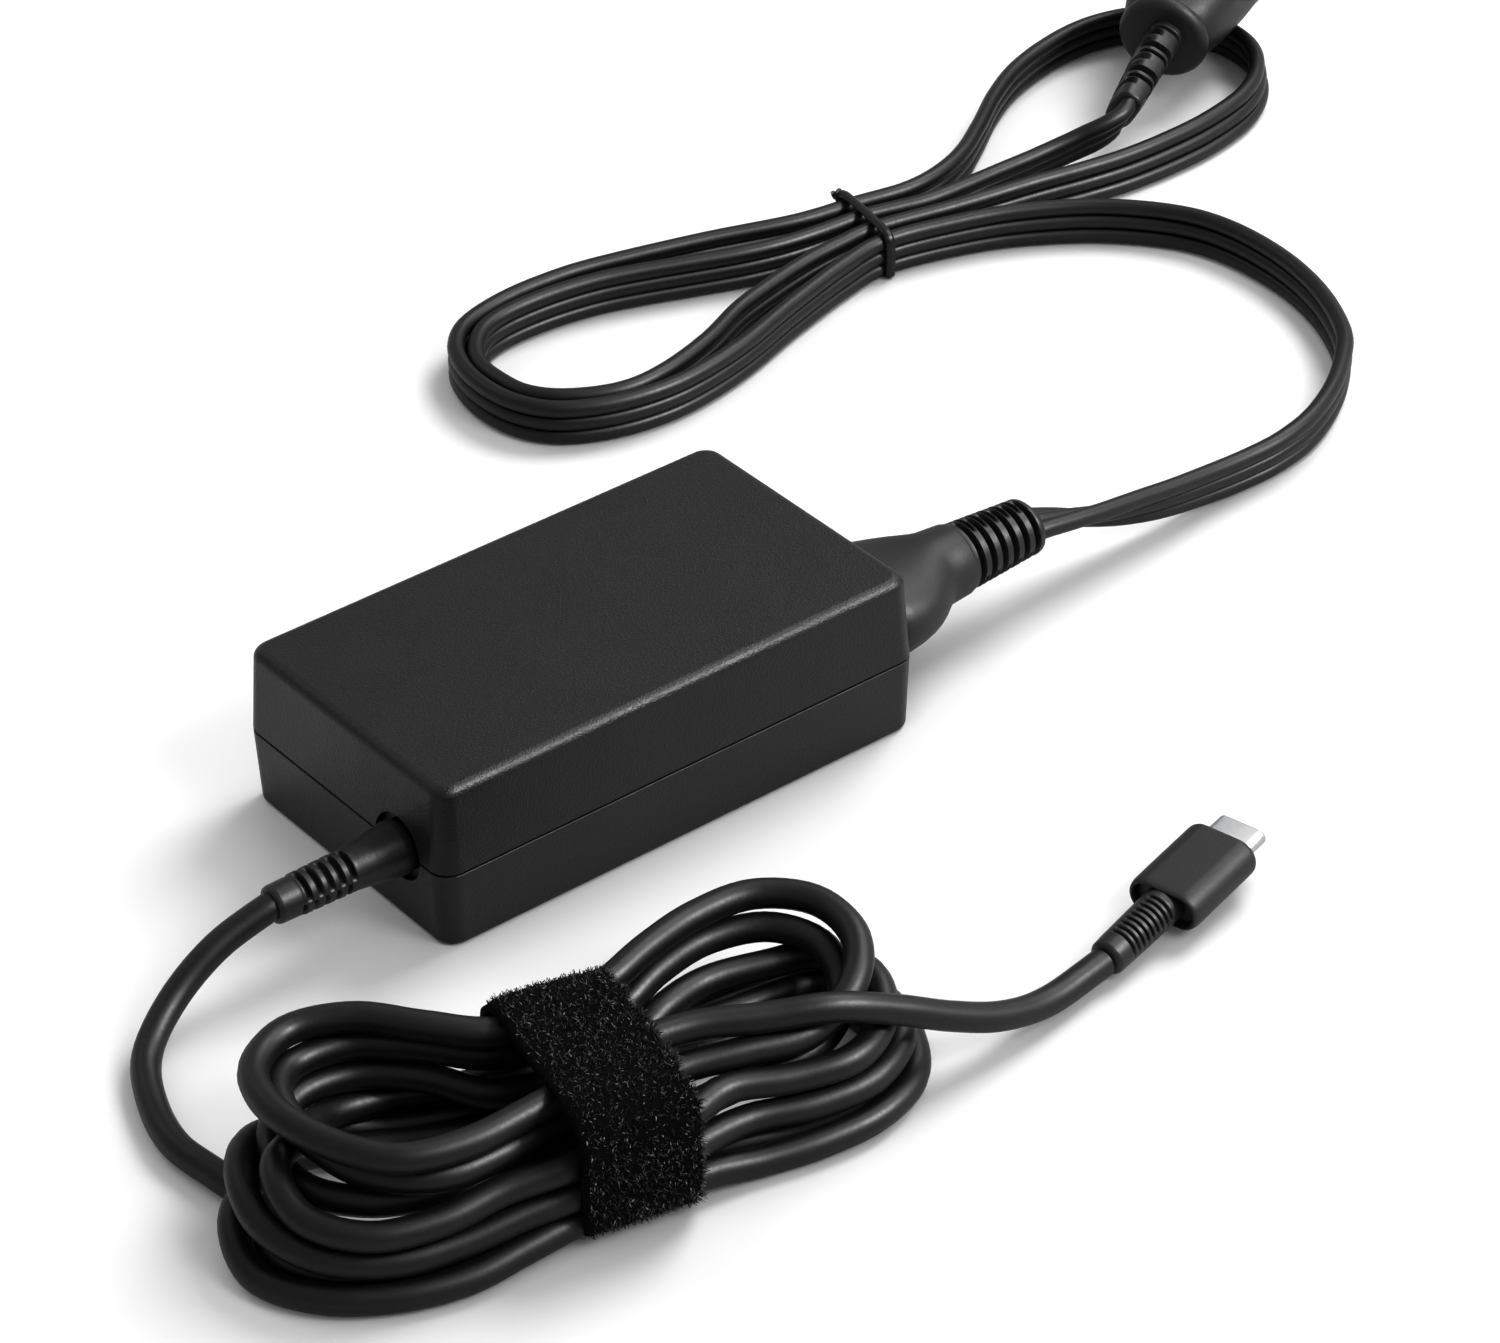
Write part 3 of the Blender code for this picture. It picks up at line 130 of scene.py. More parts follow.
# The flat mains cord from its connector to its plug: x, y, z and the cord's roll in degrees
MAINS_WIDTH = 8.2
MAINS_ROUTE = (
    (80.6, -9.8, 14.0, 2), (83.4, -9.8, 13.7, -3), (90.5, -9.9, 11.8, -21), (96.5, -10.0, 10.0, -39),
    (104.8, -10.0, 7.9, -60), (113.2, -9.9, 6.2, -72), (122.5, -9.4, 4.8, -78), (131.0, -9.2, 4.1, -81),
    (138.8, -9.0, 4.1, -83), (147.6, -7.2, 4.2, -86), (156.6, -3.0, 4.2, -87), (164.6, 2.6, 4.2, -88),
    (171.0, 9.0, 4.2, -87), (176.9, 20.4, 4.2, -85), (180.1, 33.0, 4.2, -82), (180.2, 46.6, 4.2, -79),
    (176.7, 57.1, 4.2, -78), (167.6, 67.9, 4.2, -77), (155.7, 76.0, 4.2, -84), (144.4, 80.6, 4.2, -90),
    (130.5, 83.8, 4.2, -90), (119.5, 82.1, 4.2, -90), (104.3, 77.7, 4.2, -90), (88.8, 72.5, 4.2, -90),
    (76.0, 70.0, 4.2, -90), (66.7, 70.1, 4.2, -90), (58.3, 72.2, 4.2, -90), (51.3, 76.4, 4.2, -90),
    (47.5, 82.6, 4.2, -90), (46.4, 89.8, 4.2, -90), (47.3, 97.1, 4.2, -90), (50.4, 103.9, 4.2, -90),
    (56.2, 108.8, 4.2, -90), (66.1, 111.3, 4.2, -90), (77.3, 111.4, 4.2, -90), (87.2, 109.8, 4.2, -90),
    (105.8, 104.8, 4.2, -90), (122.5, 99.3, 4.2, -90), (134.9, 97.3, 4.2, -90), (145.0, 95.6, 4.2, -88),
    (153.6, 96.6, 4.2, -86), (162.0, 99.8, 4.2, -85), (171.0, 105.6, 4.2, -83), (180.6, 112.4, 4.2, -82),
    (191.0, 118.0, 4.2, -81), (203.0, 121.5, 4.2, -80), (213.4, 122.2, 4.2, -80), (222.6, 119.6, 4.2, -80),
    (229.4, 113.4, 4.2, -80), (232.4, 104.6, 4.2, -80), (231.0, 95.2, 4.2, -80), (225.2, 87.4, 4.2, -79),
    (216.6, 82.0, 4.2, -77), (205.0, 79.1, 4.2, -75), (194.0, 78.3, 4.2, -76), (183.8, 78.6, 4.2, -78),
    (174.4, 80.0, 4.2, -80), (164.0, 82.2, 4.2, -84), (149.0, 84.8, 4.2, -90), (132.0, 88.3, 4.2, -90),
    (124.0, 88.2, 4.2, -90), (115.0, 87.2, 4.2, -90), (105.0, 85.0, 4.2, -90), (95.6, 82.2, 4.2, -90),
    (85.3, 77.6, 4.2, -90), (73.6, 74.3, 4.2, -90), (64.2, 74.0, 4.2, -90), (55.6, 78.0, 4.2, -90),
    (50.7, 83.8, 4.2, -90), (49.6, 91.4, 4.2, -90), (50.3, 97.0, 4.2, -90), (53.3, 101.9, 4.2, -90),
    (57.8, 105.6, 4.2, -90), (64.0, 107.3, 4.2, -90), (73.0, 107.4, 4.2, -90), (82.3, 106.0, 4.2, -90),
    (91.0, 103.2, 4.2, -90), (100.0, 99.7, 4.2, -90), (108.3, 96.6, 4.2, -90), (116.0, 94.6, 4.2, -90),
    (124.0, 93.6, 4.2, -90), (133.4, 92.9, 4.2, -90), (145.0, 90.6, 4.2, -80), (154.0, 90.6, 4.2, -73),
    (162.4, 91.0, 4.2, -67), (169.8, 91.0, 4.3, -64), (175.6, 90.4, 4.9, -63), (180.6, 89.0, 6.1, -62),
    (184.2, 87.3, 7.6, -61), (186.8, 86.6, 8.6, -61), (188.8, 86.7, 9.2, -61), (192.3, 88.6, 10.2, -60),
)


# Shapes


def smooth_route(points, spacing):
    """Evenly spaced vectors (of any size) on a smooth curve through the points."""
    knots = [Vector(point) for point in points]
    knots.insert(0, knots[0] * 2 - knots[1])
    knots.append(knots[-1] * 2 - knots[-2])
    fine = []
    steps = 24
    for at in range(1, len(knots) - 2):
        a, b, c, d = knots[at - 1 : at + 3]
        for step in range(steps):
            t = step / steps
            pull = b * 2 + (c - a) * t + (a * 2 - b * 5 + c * 4 - d) * t**2
            fine.append((pull + (b * 3 - a - c * 3 + d) * t**3) * 0.5)
    fine.append(knots[-2])
    lengths = [0.0]
    for low, high in zip(fine, fine[1:]):
        lengths.append(lengths[-1] + (high - low).to_3d().length)
    count = max(2, round(lengths[-1] / spacing) + 1)
    even = []
    reach = 0
    for step in range(count):
        wanted = lengths[-1] * step / (count - 1)
        while reach < len(lengths) - 2 and lengths[reach + 1] < wanted:
            reach += 1
        share = (wanted - lengths[reach]) / (lengths[reach + 1] - lengths[reach])
        even.append(fine[reach].lerp(fine[reach + 1], share))
    return even


def axes_of(direction):
    """Unit vectors along a direction, across it (level) and up from it."""
    along = Vector(direction).normalized()
    across = Vector((-along.y, along.x, 0.0)).normalized()
    return along, across, along.cross(across)


def place(profile, at, direction=(1, 0, 0), roll=0.0):
    """A flat profile stood across a direction at a point, turned about it by the roll in radians."""
    along, across, up = axes_of(direction)
    turn = Matrix.Rotation(roll, 3, along)
    across = turn @ across
    up = turn @ up
    return [Vector(at) + across * a + up * b for a, b in profile]


def solid(name, points, faces, look, smooth_angle=40.0):
    """A mesh object in metres from points in millimetres."""
    data = bpy.data.meshes.new(name)
    data.from_pydata([tuple(p * MM for p in point) for point in points], [], faces)
    shape = bmesh.new()
    shape.from_mesh(data)
    bmesh.ops.recalc_face_normals(shape, faces=shape.faces)
    shape.to_mesh(data)
    shape.free()
    data.materials.append(look)
    made = bpy.data.objects.new(name, data)
    bpy.context.scene.collection.objects.link(made)
    data.shade_smooth()
    data.set_sharp_from_angle(angle=math.radians(smooth_angle))
    return made


def skin(name, rings, look, smooth_angle=40.0, joined=False):
    """A closed solid over rings of equal point counts."""
    count = len(rings[0])
    points = [point for ring in rings for point in ring]
    faces = []
    pairs = [(at, at + 1) for at in range(len(rings) - 1)]
    if joined:
        pairs.append((len(rings) - 1, 0))
    for low, high in pairs:
        for at in range(count):
            after = (at + 1) % count
            faces.append((low * count + at, low * count + after, high * count + after, high * count + at))
    if not joined:
        faces.append(tuple(range(count)))
        faces.append(tuple(range((len(rings) - 1) * count, len(rings) * count)))
    return solid(name, points, faces, look, smooth_angle)


def join(name, pieces):
    """One object from several."""
    bpy.ops.object.select_all(action="DESELECT")
    for piece in pieces:
        piece.select_set(True)
    bpy.context.view_layer.objects.active = pieces[0]
    bpy.ops.object.join()
    made = bpy.context.view_layer.objects.active
    made.name = name
    made.data.name = name
    return made


def cut(made, cutters):
    """Cuts the cutters out of the piece and removes them."""
    for cutter in cutters:
        change = made.modifiers.new("cut", "BOOLEAN")
        change.object = cutter
        change.solver = "EXACT"
        bpy.context.view_layer.update()
        result = bpy.data.meshes.new_from_object(made.evaluated_get(bpy.context.evaluated_depsgraph_get()))
        made.modifiers.clear()
        made.data = result
        bpy.data.objects.remove(cutter)
    return made


def weighted(made, smooth_angle=35.0):
    """Even shading over small rounded edges."""
    made.data.shade_smooth()
    made.data.set_sharp_from_angle(angle=math.radians(smooth_angle))
    change = made.modifiers.new("even shading", "WEIGHTED_NORMAL")
    change.keep_sharp = True
    return made


def round_rect(width, height, radius, steps=8):
    corners = []
    for turn in range(4):
        side_x = 1 if turn in (0, 3) else -1
        side_y = 1 if turn in (0, 1) else -1
        for step in range(steps + 1):
            angle = math.radians(90) * (turn + step / steps)
            across = side_x * (width / 2 - radius) + radius * math.cos(angle)
            up = side_y * (height / 2 - radius) + radius * math.sin(angle)
            corners.append((across, up))
    return corners


def superellipse(width, height, power=2.0, count=64):
    points = []
    for step in range(count):
        angle = math.tau * step / count
        c = math.cos(angle)
        s = math.sin(angle)
        across = math.copysign(abs(c) ** (2 / power), c) * width / 2
        up = math.copysign(abs(s) ** (2 / power), s) * height / 2
        points.append((across, up))
    return points


def along_axis(name, start, direction, sections, look, smooth_angle=40.0):
    """A solid through sections given as (distance along the direction, profile)."""
    along = Vector(direction).normalized()
    rings = [place(profile, Vector(start) + along * far, along) for far, profile in sections]
    return skin(name, rings, look, smooth_angle)


def eased(low, high, value):
    """0 below the low value and 1 above the high one, with a smooth rise between them."""
    share = min(max((value - low) / (high - low), 0.0), 1.0)
    return share * share * (3 - 2 * share)


SLOT_FLOOR_INSET = 0.1
SLOT_END_FADE = 9.0


def relief(name, start, direction, sizes, slots, look, depth, fillet, step, roll=0.0):
    """A strain relief. Sizes are (distance, width, height, squareness). Slots are (from, to, middle, half
    width), the last two in degrees round the direction. They have rounded edges and fade at their ends."""
    along = Vector(direction).normalized()
    count = 64
    rings = []
    end = sizes[-1][0]
    far = sizes[0][0]
    stations = []
    while far < end:
        stations.append(far)
        far += step
    stations.append(end)
    for far in stations:
        for low, high in zip(sizes, sizes[1:]):
            if low[0] <= far <= high[0]:
                share = (far - low[0]) / (high[0] - low[0])
                break
        width, height, power = (low[k] + (high[k] - low[k]) * share for k in (1, 2, 3))
        profile = []
        for at, (across, up) in enumerate(superellipse(width, height, power, count)):
            angle = math.degrees(math.atan2(up, across))
            sink = 0.0
            for near, past, middle, half in slots:
                if near - fillet < far < past + fillet:
                    into = eased(near - fillet, near + SLOT_FLOOR_INSET, far)
                    out_of = 1 - eased(past - SLOT_FLOOR_INSET, past + fillet, far)
                    off = abs(math.remainder(angle - middle, 360.0))
                    around = 1 - eased(half - SLOT_END_FADE, half + SLOT_END_FADE, off)
                    sink = max(sink, min(into, out_of) * around)
            reach = math.hypot(across, up)
            keep = (reach - depth * sink) / reach
            profile.append((across * keep, up * keep))
        rings.append(place(profile, Vector(start) + along * far, along, math.radians(roll)))
    return skin(name, rings, look, 60)


# Surfaces


def surface(name, colour, rough, metallic=0.0, grain=2500.0, bump=0.15, mottle=0.12, specular=0.5,
            rough_swing=0.08, pits=0.0):
    """A procedural finish: fine grain, a slow mottle in the colour and the roughness, and optional pits."""
    made = bpy.data.materials.new(name)
    made.use_nodes = True
    nodes = made.node_tree.nodes
    links = made.node_tree.links
    shader = nodes["Principled BSDF"]
    shader.inputs["Metallic"].default_value = metallic
    shader.inputs["Specular IOR Level"].default_value = specular
    place_at = nodes.new("ShaderNodeTexCoord")

    def noise(scale, detail=3.0, roughness=0.6):
        made_noise = nodes.new("ShaderNodeTexNoise")
        made_noise.inputs["Scale"].default_value = scale
        made_noise.inputs["Detail"].default_value = detail
        made_noise.inputs["Roughness"].default_value = roughness
        links.new(place_at.outputs["Object"], made_noise.inputs["Vector"])
        return made_noise.outputs["Fac"]

    slow = noise(70.0, 4.0)
    fine = noise(grain, 2.0, 0.7)
    tint = nodes.new("ShaderNodeValToRGB")
    tint.color_ramp.elements[0].position = 0.3
    tint.color_ramp.elements[1].position = 0.7
    tint.color_ramp.elements[0].color = (*(c * (1 - mottle) for c in colour), 1)
    tint.color_ramp.elements[1].color = (*(min(c * (1 + mottle), 1.0) for c in colour), 1)
    blend = nodes.new("ShaderNodeMath")
    blend.operation = "MULTIPLY_ADD"
    blend.inputs[1].default_value = 0.45
    links.new(fine, blend.inputs[0])
    share = nodes.new("ShaderNodeMath")
    share.operation = "MULTIPLY"
    share.inputs[1].default_value = 0.55
    links.new(slow, share.inputs[0])
    links.new(share.outputs[0], blend.inputs[2])
    links.new(blend.outputs[0], tint.inputs["Fac"])
    links.new(tint.outputs["Color"], shader.inputs["Base Color"])
    spread = nodes.new("ShaderNodeMapRange")
    spread.inputs["From Min"].default_value = 0.3
    spread.inputs["From Max"].default_value = 0.7
    spread.inputs["To Min"].default_value = rough - rough_swing
    spread.inputs["To Max"].default_value = rough + rough_swing
    links.new(blend.outputs[0], spread.inputs["Value"])
    links.new(spread.outputs["Result"], shader.inputs["Roughness"])
    relief_map = nodes.new("ShaderNodeBump")
    relief_map.inputs["Strength"].default_value = bump
    relief_map.inputs["Distance"].default_value = 0.0002
    height = fine
    if pits:
        cells = nodes.new("ShaderNodeTexVoronoi")
        cells.inputs["Scale"].default_value = pits
        links.new(place_at.outputs["Object"], cells.inputs["Vector"])
        both = nodes.new("ShaderNodeMath")
        both.operation = "MULTIPLY_ADD"
        both.inputs[1].default_value = 0.6
        links.new(cells.outputs["Distance"], both.inputs[0])
        links.new(fine, both.inputs[2])
        height = both.outputs[0]
    links.new(height, relief_map.inputs["Height"])
    links.new(relief_map.outputs["Normal"], shader.inputs["Normal"])
    return made


CASE = surface("case_look", (0.01, 0.01, 0.0108), 0.41, grain=3800.0, bump=0.35, pits=2600.0, specular=0.3)
MOULDED = surface("moulded_look", (0.0115, 0.0115, 0.0122), 0.52, grain=2200.0, bump=0.16, specular=0.36)
SOFT = surface("soft_look", (0.011, 0.011, 0.0115), 0.46, grain=2600.0, bump=0.14, specular=0.36)
JACKET = surface("jacket_look", (0.0034, 0.0034, 0.0036), 0.47, grain=1900.0, bump=0.1, specular=0.34)
STRAP = surface("strap_look", (0.0016, 0.0016, 0.0017), 0.92, grain=2400.0, bump=0.9, mottle=0.6,
                specular=0.06)
NAP = surface("nap_look", (0.01, 0.01, 0.0104), 0.55, grain=900.0, bump=0.2, mottle=0.85, specular=0.5)
TIE = surface("tie_look", (0.003, 0.003, 0.0033), 0.4, grain=1600.0, bump=0.1, specular=0.3)
STEEL = surface("steel_look", (0.36, 0.362, 0.37), 0.42, 1.0, grain=1500.0, bump=0.04, mottle=0.05)
NICKEL = surface("nickel_look", (0.64, 0.62, 0.58), 0.24, 1.0, grain=1500.0, bump=0.03, mottle=0.05)
INSIDE_LOOKS = {
    "moulded": MOULDED,
    "brass": surface("brass_look", (0.74, 0.55, 0.27), 0.28, 1.0, bump=0.04, mottle=0.06),
    "contact": surface("contact_look", (0.06, 0.06, 0.062), 0.4, grain=2000.0),
    "board": surface("board_look", (0.03, 0.17, 0.07), 0.4, grain=900.0, mottle=0.25, pits=700.0),
    "ceramic": surface("ceramic_look", (0.7, 0.68, 0.62), 0.35, grain=1200.0, bump=0.08),
    "film": surface("film_look", (0.72, 0.56, 0.1), 0.42, grain=1400.0),
    "ferrite": surface("ferrite_look", (0.045, 0.045, 0.048), 0.7, grain=3000.0, bump=0.4, pits=2000.0),
    "copper": surface("copper_look", (0.62, 0.25, 0.08), 0.3, 1.0, grain=2600.0, bump=0.3),
    "semiconductor": surface("semiconductor_look", (0.02, 0.02, 0.021), 0.5, grain=3000.0, bump=0.3),
    "sleeve": surface("sleeve_look", (0.02, 0.03, 0.09), 0.3, grain=800.0),
    "sink": surface("sink_look", (0.7, 0.71, 0.72), 0.36, 1.0, grain=1800.0, bump=0.12),
    "blue": surface("blue_look", (0.05, 0.15, 0.42), 0.42, grain=1300.0, bump=0.2),
    "white": surface("white_look", (0.78, 0.78, 0.75), 0.45, grain=1600.0),
    "tape": surface("tape_look", (0.78, 0.6, 0.09), 0.4, grain=500.0, bump=0.3, mottle=0.2),
    "green": surface("green_look", (0.04, 0.23, 0.09), 0.45, grain=1300.0, bump=0.2),
}


# The cords


def make_dc_cord():
    data = bpy.data.curves.new("dc_cord", "CURVE")
    data.dimensions = "3D"
    data.bevel_depth = DC_DIAMETER / 2 * MM
    data.bevel_resolution = 5
    data.use_fill_caps = True
    points = smooth_route(DC_ROUTE, 1.5)
    line = data.splines.new("POLY")
    line.points.add(len(points) - 1)
    for knot, point in zip(line.points, points):
        knot.co = (*(point * MM), 1.0)
    line.use_smooth = True
    data.materials.append(JACKET)
    made = bpy.data.objects.new("dc_cord", data)
    bpy.context.scene.collection.objects.link(made)
    return made, sum((b - a).length for a, b in zip(points, points[1:]))


CORE_RADIUS = 1.52
CORE_PITCH = MAINS_WIDTH / 2 - CORE_RADIUS
VALLEY_HALF_WIDTH = 0.1
VALLEY_HALF_THICKNESS = 0.34


def flat_cord_profile():
    """Three round cores side by side in one jacket, with a narrow valley between each pair."""
    upper = []
    valley = math.acos(CORE_PITCH / 2 / CORE_RADIUS)
    reach = CORE_PITCH / 2 - VALLEY_HALF_WIDTH
    steps = 9
    for centre in (CORE_PITCH, 0.0, -CORE_PITCH):
        first = 0.0 if centre > 0 else valley
        last = math.pi if centre < 0 else math.pi - valley
        for step in range(steps + 1):
            angle = first + (last - first) * step / steps
            across = centre + CORE_RADIUS * math.cos(angle)
            if step == 0 and centre <= 0:
                across = centre + reach
            if step == steps and centre >= 0:
                across = centre - reach
            upper.append((across, CORE_RADIUS * math.sin(angle)))
        if centre > -CORE_PITCH:
            upper.append((centre - CORE_PITCH / 2, VALLEY_HALF_THICKNESS))
    lower = [(across, -up) for across, up in reversed(upper)]
    return upper + lower[1:-1]


def make_mains_cord():
    points = smooth_route(MAINS_ROUTE, 1.5)
    profile = flat_cord_profile()
    rings = []
    path = []
    for at, point in enumerate(points):
        before = points[max(at - 1, 0)].to_3d()
        after = points[min(at + 1, len(points) - 1)].to_3d()
        rings.append(place(profile, point.to_3d(), after - before, math.radians(point.w)))
        path.append(point.to_3d() * MM)
    made = skin("mains_cord", rings, JACKET, 50)
    return made, path, sum((b - a).length for a, b in zip(path, path[1:]))


dc_cord, dc_length = make_dc_cord()
mains_cord, mains_path, mains_length = make_mains_cord()


# Case

CASE_LENGTH = 91.0
CASE_WIDTH = 52.1
CASE_HEIGHT = 28.1
SEAM_Z = 13.37
SEAM_GROOVE = 0.34
WALL = 2.0
BOTTOM_DRAFT = 0.55
TOP_DRAFT = 0.97
CORNER_RADIUS = 3.5
DC_Y = -14.3
DC_Z = 13.3
DISH_RADIUS = 5.5
INLET_Y = -9.8
INLET_Z = 14.0


def case_ring(inset, z):
    radius = max(CORNER_RADIUS - inset * 0.55, 1.0)
    outline = round_rect(CASE_LENGTH - 2 * inset, CASE_WIDTH - 2 * inset, radius, 12)
    return [(x, y, z) for x, y in outline]


def rounding(inset_from, z_from, inset_to, z_to, steps=7):
    """A quarter-round edge as (inset, z) pairs, from a wall to a flat."""
    pairs = []
    for step in range(steps + 1):
        angle = math.radians(90) * step / steps
        inset = inset_from + (inset_to - inset_from) * (1 - math.cos(angle))
        z = z_from + (z_to - z_from) * math.sin(angle)
        pairs.append((inset, z))
    return pairs


def make_case():
    """Two hollow halves with a tongue and rebate at the seam, a dish for the cord and the inlet's mouth."""
    low_lip = SEAM_Z - SEAM_GROOVE / 2
    high_lip = SEAM_Z + SEAM_GROOVE / 2
    tongue_top = low_lip + 1.1
    rebate_top = tongue_top + 0.3
    lip = 0.16
    foot = reversed(rounding(BOTTOM_DRAFT - 0.02, 1.0, BOTTOM_DRAFT + 0.9, 0.02))
    low_edge = rounding(0.06, low_lip - lip, 0.06 + lip, low_lip, 4)
    tongue = ((1.1, low_lip), (1.1, tongue_top), (WALL, tongue_top), (WALL + BOTTOM_DRAFT, 2.0))
    bottom = [case_ring(*pair) for pair in (*foot, *low_edge, *tongue)]
    rebate = ((WALL + TOP_DRAFT, CASE_HEIGHT - 2.0), (WALL, rebate_top), (0.8, rebate_top), (0.8, high_lip))
    high_edge = reversed(rounding(0.06, high_lip + lip, 0.06 + lip, high_lip, 4))
    brow = rounding(TOP_DRAFT - 0.1, CASE_HEIGHT - 1.75, TOP_DRAFT + 1.65, CASE_HEIGHT, 9)
    top = [case_ring(*pair) for pair in (*rebate, *high_edge, *brow)]
    for name, node, rings in (("case_bottom", "bottom_shell", bottom), ("case_top", "top_shell", top)):
        shell = skin(name, rings, CASE, 35)
        dish = along_axis("dish", (-CASE_LENGTH / 2 - 1.0, DC_Y, DC_Z), (1, 0, 0), [
            (0.0, superellipse(2 * DISH_RADIUS + 0.9, 2 * DISH_RADIUS + 0.9)),
            (1.15, superellipse(2 * DISH_RADIUS + 0.2, 2 * DISH_RADIUS + 0.2)),
            (1.35, superellipse(2 * DISH_RADIUS, 2 * DISH_RADIUS)),
            (2.5, superellipse(2 * DISH_RADIUS, 2 * DISH_RADIUS)),
            (2.5, superellipse(8.4, 8.4)),
            (5.0, superellipse(8.4, 8.4)),
        ], CASE)
        mouth = along_axis("mouth", (CASE_LENGTH / 2 - 5.0, INLET_Y, INLET_Z), (1, 0, 0), [
            (0.0, round_rect(24.6, 17.6, 3.0)),
            (4.6, round_rect(24.6, 17.6, 3.0)),
            (5.1, round_rect(25.4, 18.4, 3.3)),
            (8.0, round_rect(25.4, 18.4, 3.3)),
        ], CASE)
        cut(shell, (dish, mouth))
        weighted(shell)
        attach(shell, "adapter")
        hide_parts(node)


make_case()


# Low-voltage side: strain relief at the case, strap, plug


def make_dc_relief():
    face = CASE_LENGTH / 2
    sizes = (
        (-face + 2.7, 7.6, 7.6, 2.0),
        (-face + 1.1, 7.6, 7.6, 2.0),
        (-face + 0.7, 8.3, 8.3, 2.0),
        (-face + 0.1, 8.8, 8.8, 2.0),
        (-face - 0.8, 8.8, 8.8, 2.0),
        (-face - 2.6, 8.3, 8.3, 2.0),
        (-face - 5.6, 7.4, 7.4, 2.0),
        (-face - 8.6, 6.8, 6.8, 2.0),
        (-face - 18.0, 6.5, 6.5, 2.0),
        (-face - 18.6, 6.2, 6.2, 2.0),
        (-face - 21.8, 6.1, 6.1, 2.0),
        (-face - 22.3, 5.8, 5.8, 2.0),
        (-face - 22.5, 5.1, 5.1, 2.0),
    )
    sizes = tuple((-far, width, height, power) for far, width, height, power in sizes)
    slots = []
    first = face + 9.3
    pitch = 1.95
    for at in range(5):
        near = first + at * pitch
        for middle in (62.0, 242.0):
            slots.append((near, near + 0.85, middle, 50.0))
        for middle in (152.0, 332.0):
            slots.append((near + pitch / 2, near + pitch / 2 + 0.6, middle, 24.0))
    made = relief("dc_relief", (0.0, DC_Y, DC_Z), (-1, 0, 0), sizes, slots, SOFT, 1.2, 0.14, 0.12)
    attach(made, "adapter")
    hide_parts("dc_strain_relief")
    return made


HANK_TURN = math.radians(-12.0)
STRAP_LEFT = -49.0
STRAP_RIGHT = -31.3
STRAP_MIDDLE = (-87.5, 11.4)
STRAP_INSIDE = (32.4, 20.1)
STRAP_THICKNESS = 1.2
STRAP_CORNER = 5.2
STRAP_STEP = 0.8
STRAP_LAP = 22.0
STRAP_START = (8.0, -11.0)
FIBRES = 11000
EDGE_FIBRES = 2200


def hank_point(u, v, z):
    """A point from distances along the hank (u) and across it (v)."""
    c = math.cos(HANK_TURN)
    s = math.sin(HANK_TURN)
    return Vector((u * c - v * s, u * s + v * c, z))


def strap_line(grow):
    """The strap's closed way round the hank as even steps of (v, z) from its middle."""
    width, height = (side + 2 * grow for side in STRAP_INSIDE)
    outline = round_rect(width, height, STRAP_CORNER + grow, 10)
    dense = []
    for (a, b), (c, d) in zip(outline, outline[1:] + outline[:1]):
        steps = max(1, round(math.hypot(c - a, d - b) / STRAP_STEP))
        dense += [(a + (c - a) * k / steps, b + (d - b) * k / steps) for k in range(steps)]
    return dense


def make_strap():
    """The strap round the hank and lapped over its own start; also its outer surface and its middle line."""
    base = strap_line(STRAP_THICKNESS * 0.5)
    count = len(base)
    start = min(range(count), key=lambda k: math.dist(base[k], STRAP_START))
    lap = round(STRAP_LAP / STRAP_STEP)
    line = []
    for step in range(count + lap):
        at = (start + step) % count
        v, z = base[at]
        before = base[at - 1]
        after = base[(at + 1) % count]
        tangent = Vector((after[0] - before[0], after[1] - before[1])).normalized()
        outward = Vector((tangent.y, -tangent.x))
        lift = (STRAP_THICKNESS + 0.1) * eased(count - 10, count + 3, step)
        line.append((Vector((v, z)) + outward * lift, outward))
    across = 22
    dice = random.Random(7)
    outer = []
    inner = []
    for step, (point, outward) in enumerate(line):
        end = min(step, len(line) - 1 - step)
        narrow = 0.0 if end > 3 else (3 - end) * 0.35
        row_out = []
        row_in = []
        for k in range(across + 1):
            share = k / across
            wander = 0.12 * math.sin(step * 0.37) + 0.08 * math.sin(step * 0.93 + 1.0)
            edge = 0.25 * math.sin(step * 0.61 + 2.0) + dice.uniform(-0.18, 0.18) if k == across else 0.0
            u = STRAP_LEFT + narrow + (STRAP_RIGHT - STRAP_LEFT - 2 * narrow) * share + wander + edge
            selvedge = eased(0.0, 0.09, share)
            puff = STRAP_THICKNESS * (0.28 + 0.34 * selvedge) + dice.uniform(-0.13, 0.13) * selvedge
            puff -= 0.3 * eased(0.94, 1.0, share)
            swell = 0.22 * math.sin(step * 0.21 + share * 4.0) * (point.y > -6.0)
            top = point + outward * (puff + swell)
            under = point - outward * (STRAP_THICKNESS * 0.45 - swell * 0.4)
            middle_v, middle_z = STRAP_MIDDLE
            row_out.append(hank_point(u, middle_v + top.x, max(middle_z + top.y, TABLE)))
            row_in.append(hank_point(u, middle_v + under.x, max(middle_z + under.y, TABLE + 0.4)))
        outer.append(row_out)
        inner.append(row_in)
    rings = [row_out + list(reversed(row_in)) for row_out, row_in in zip(outer, inner)]
    made = skin("strap", rings, STRAP, 80)
    return made, outer, line


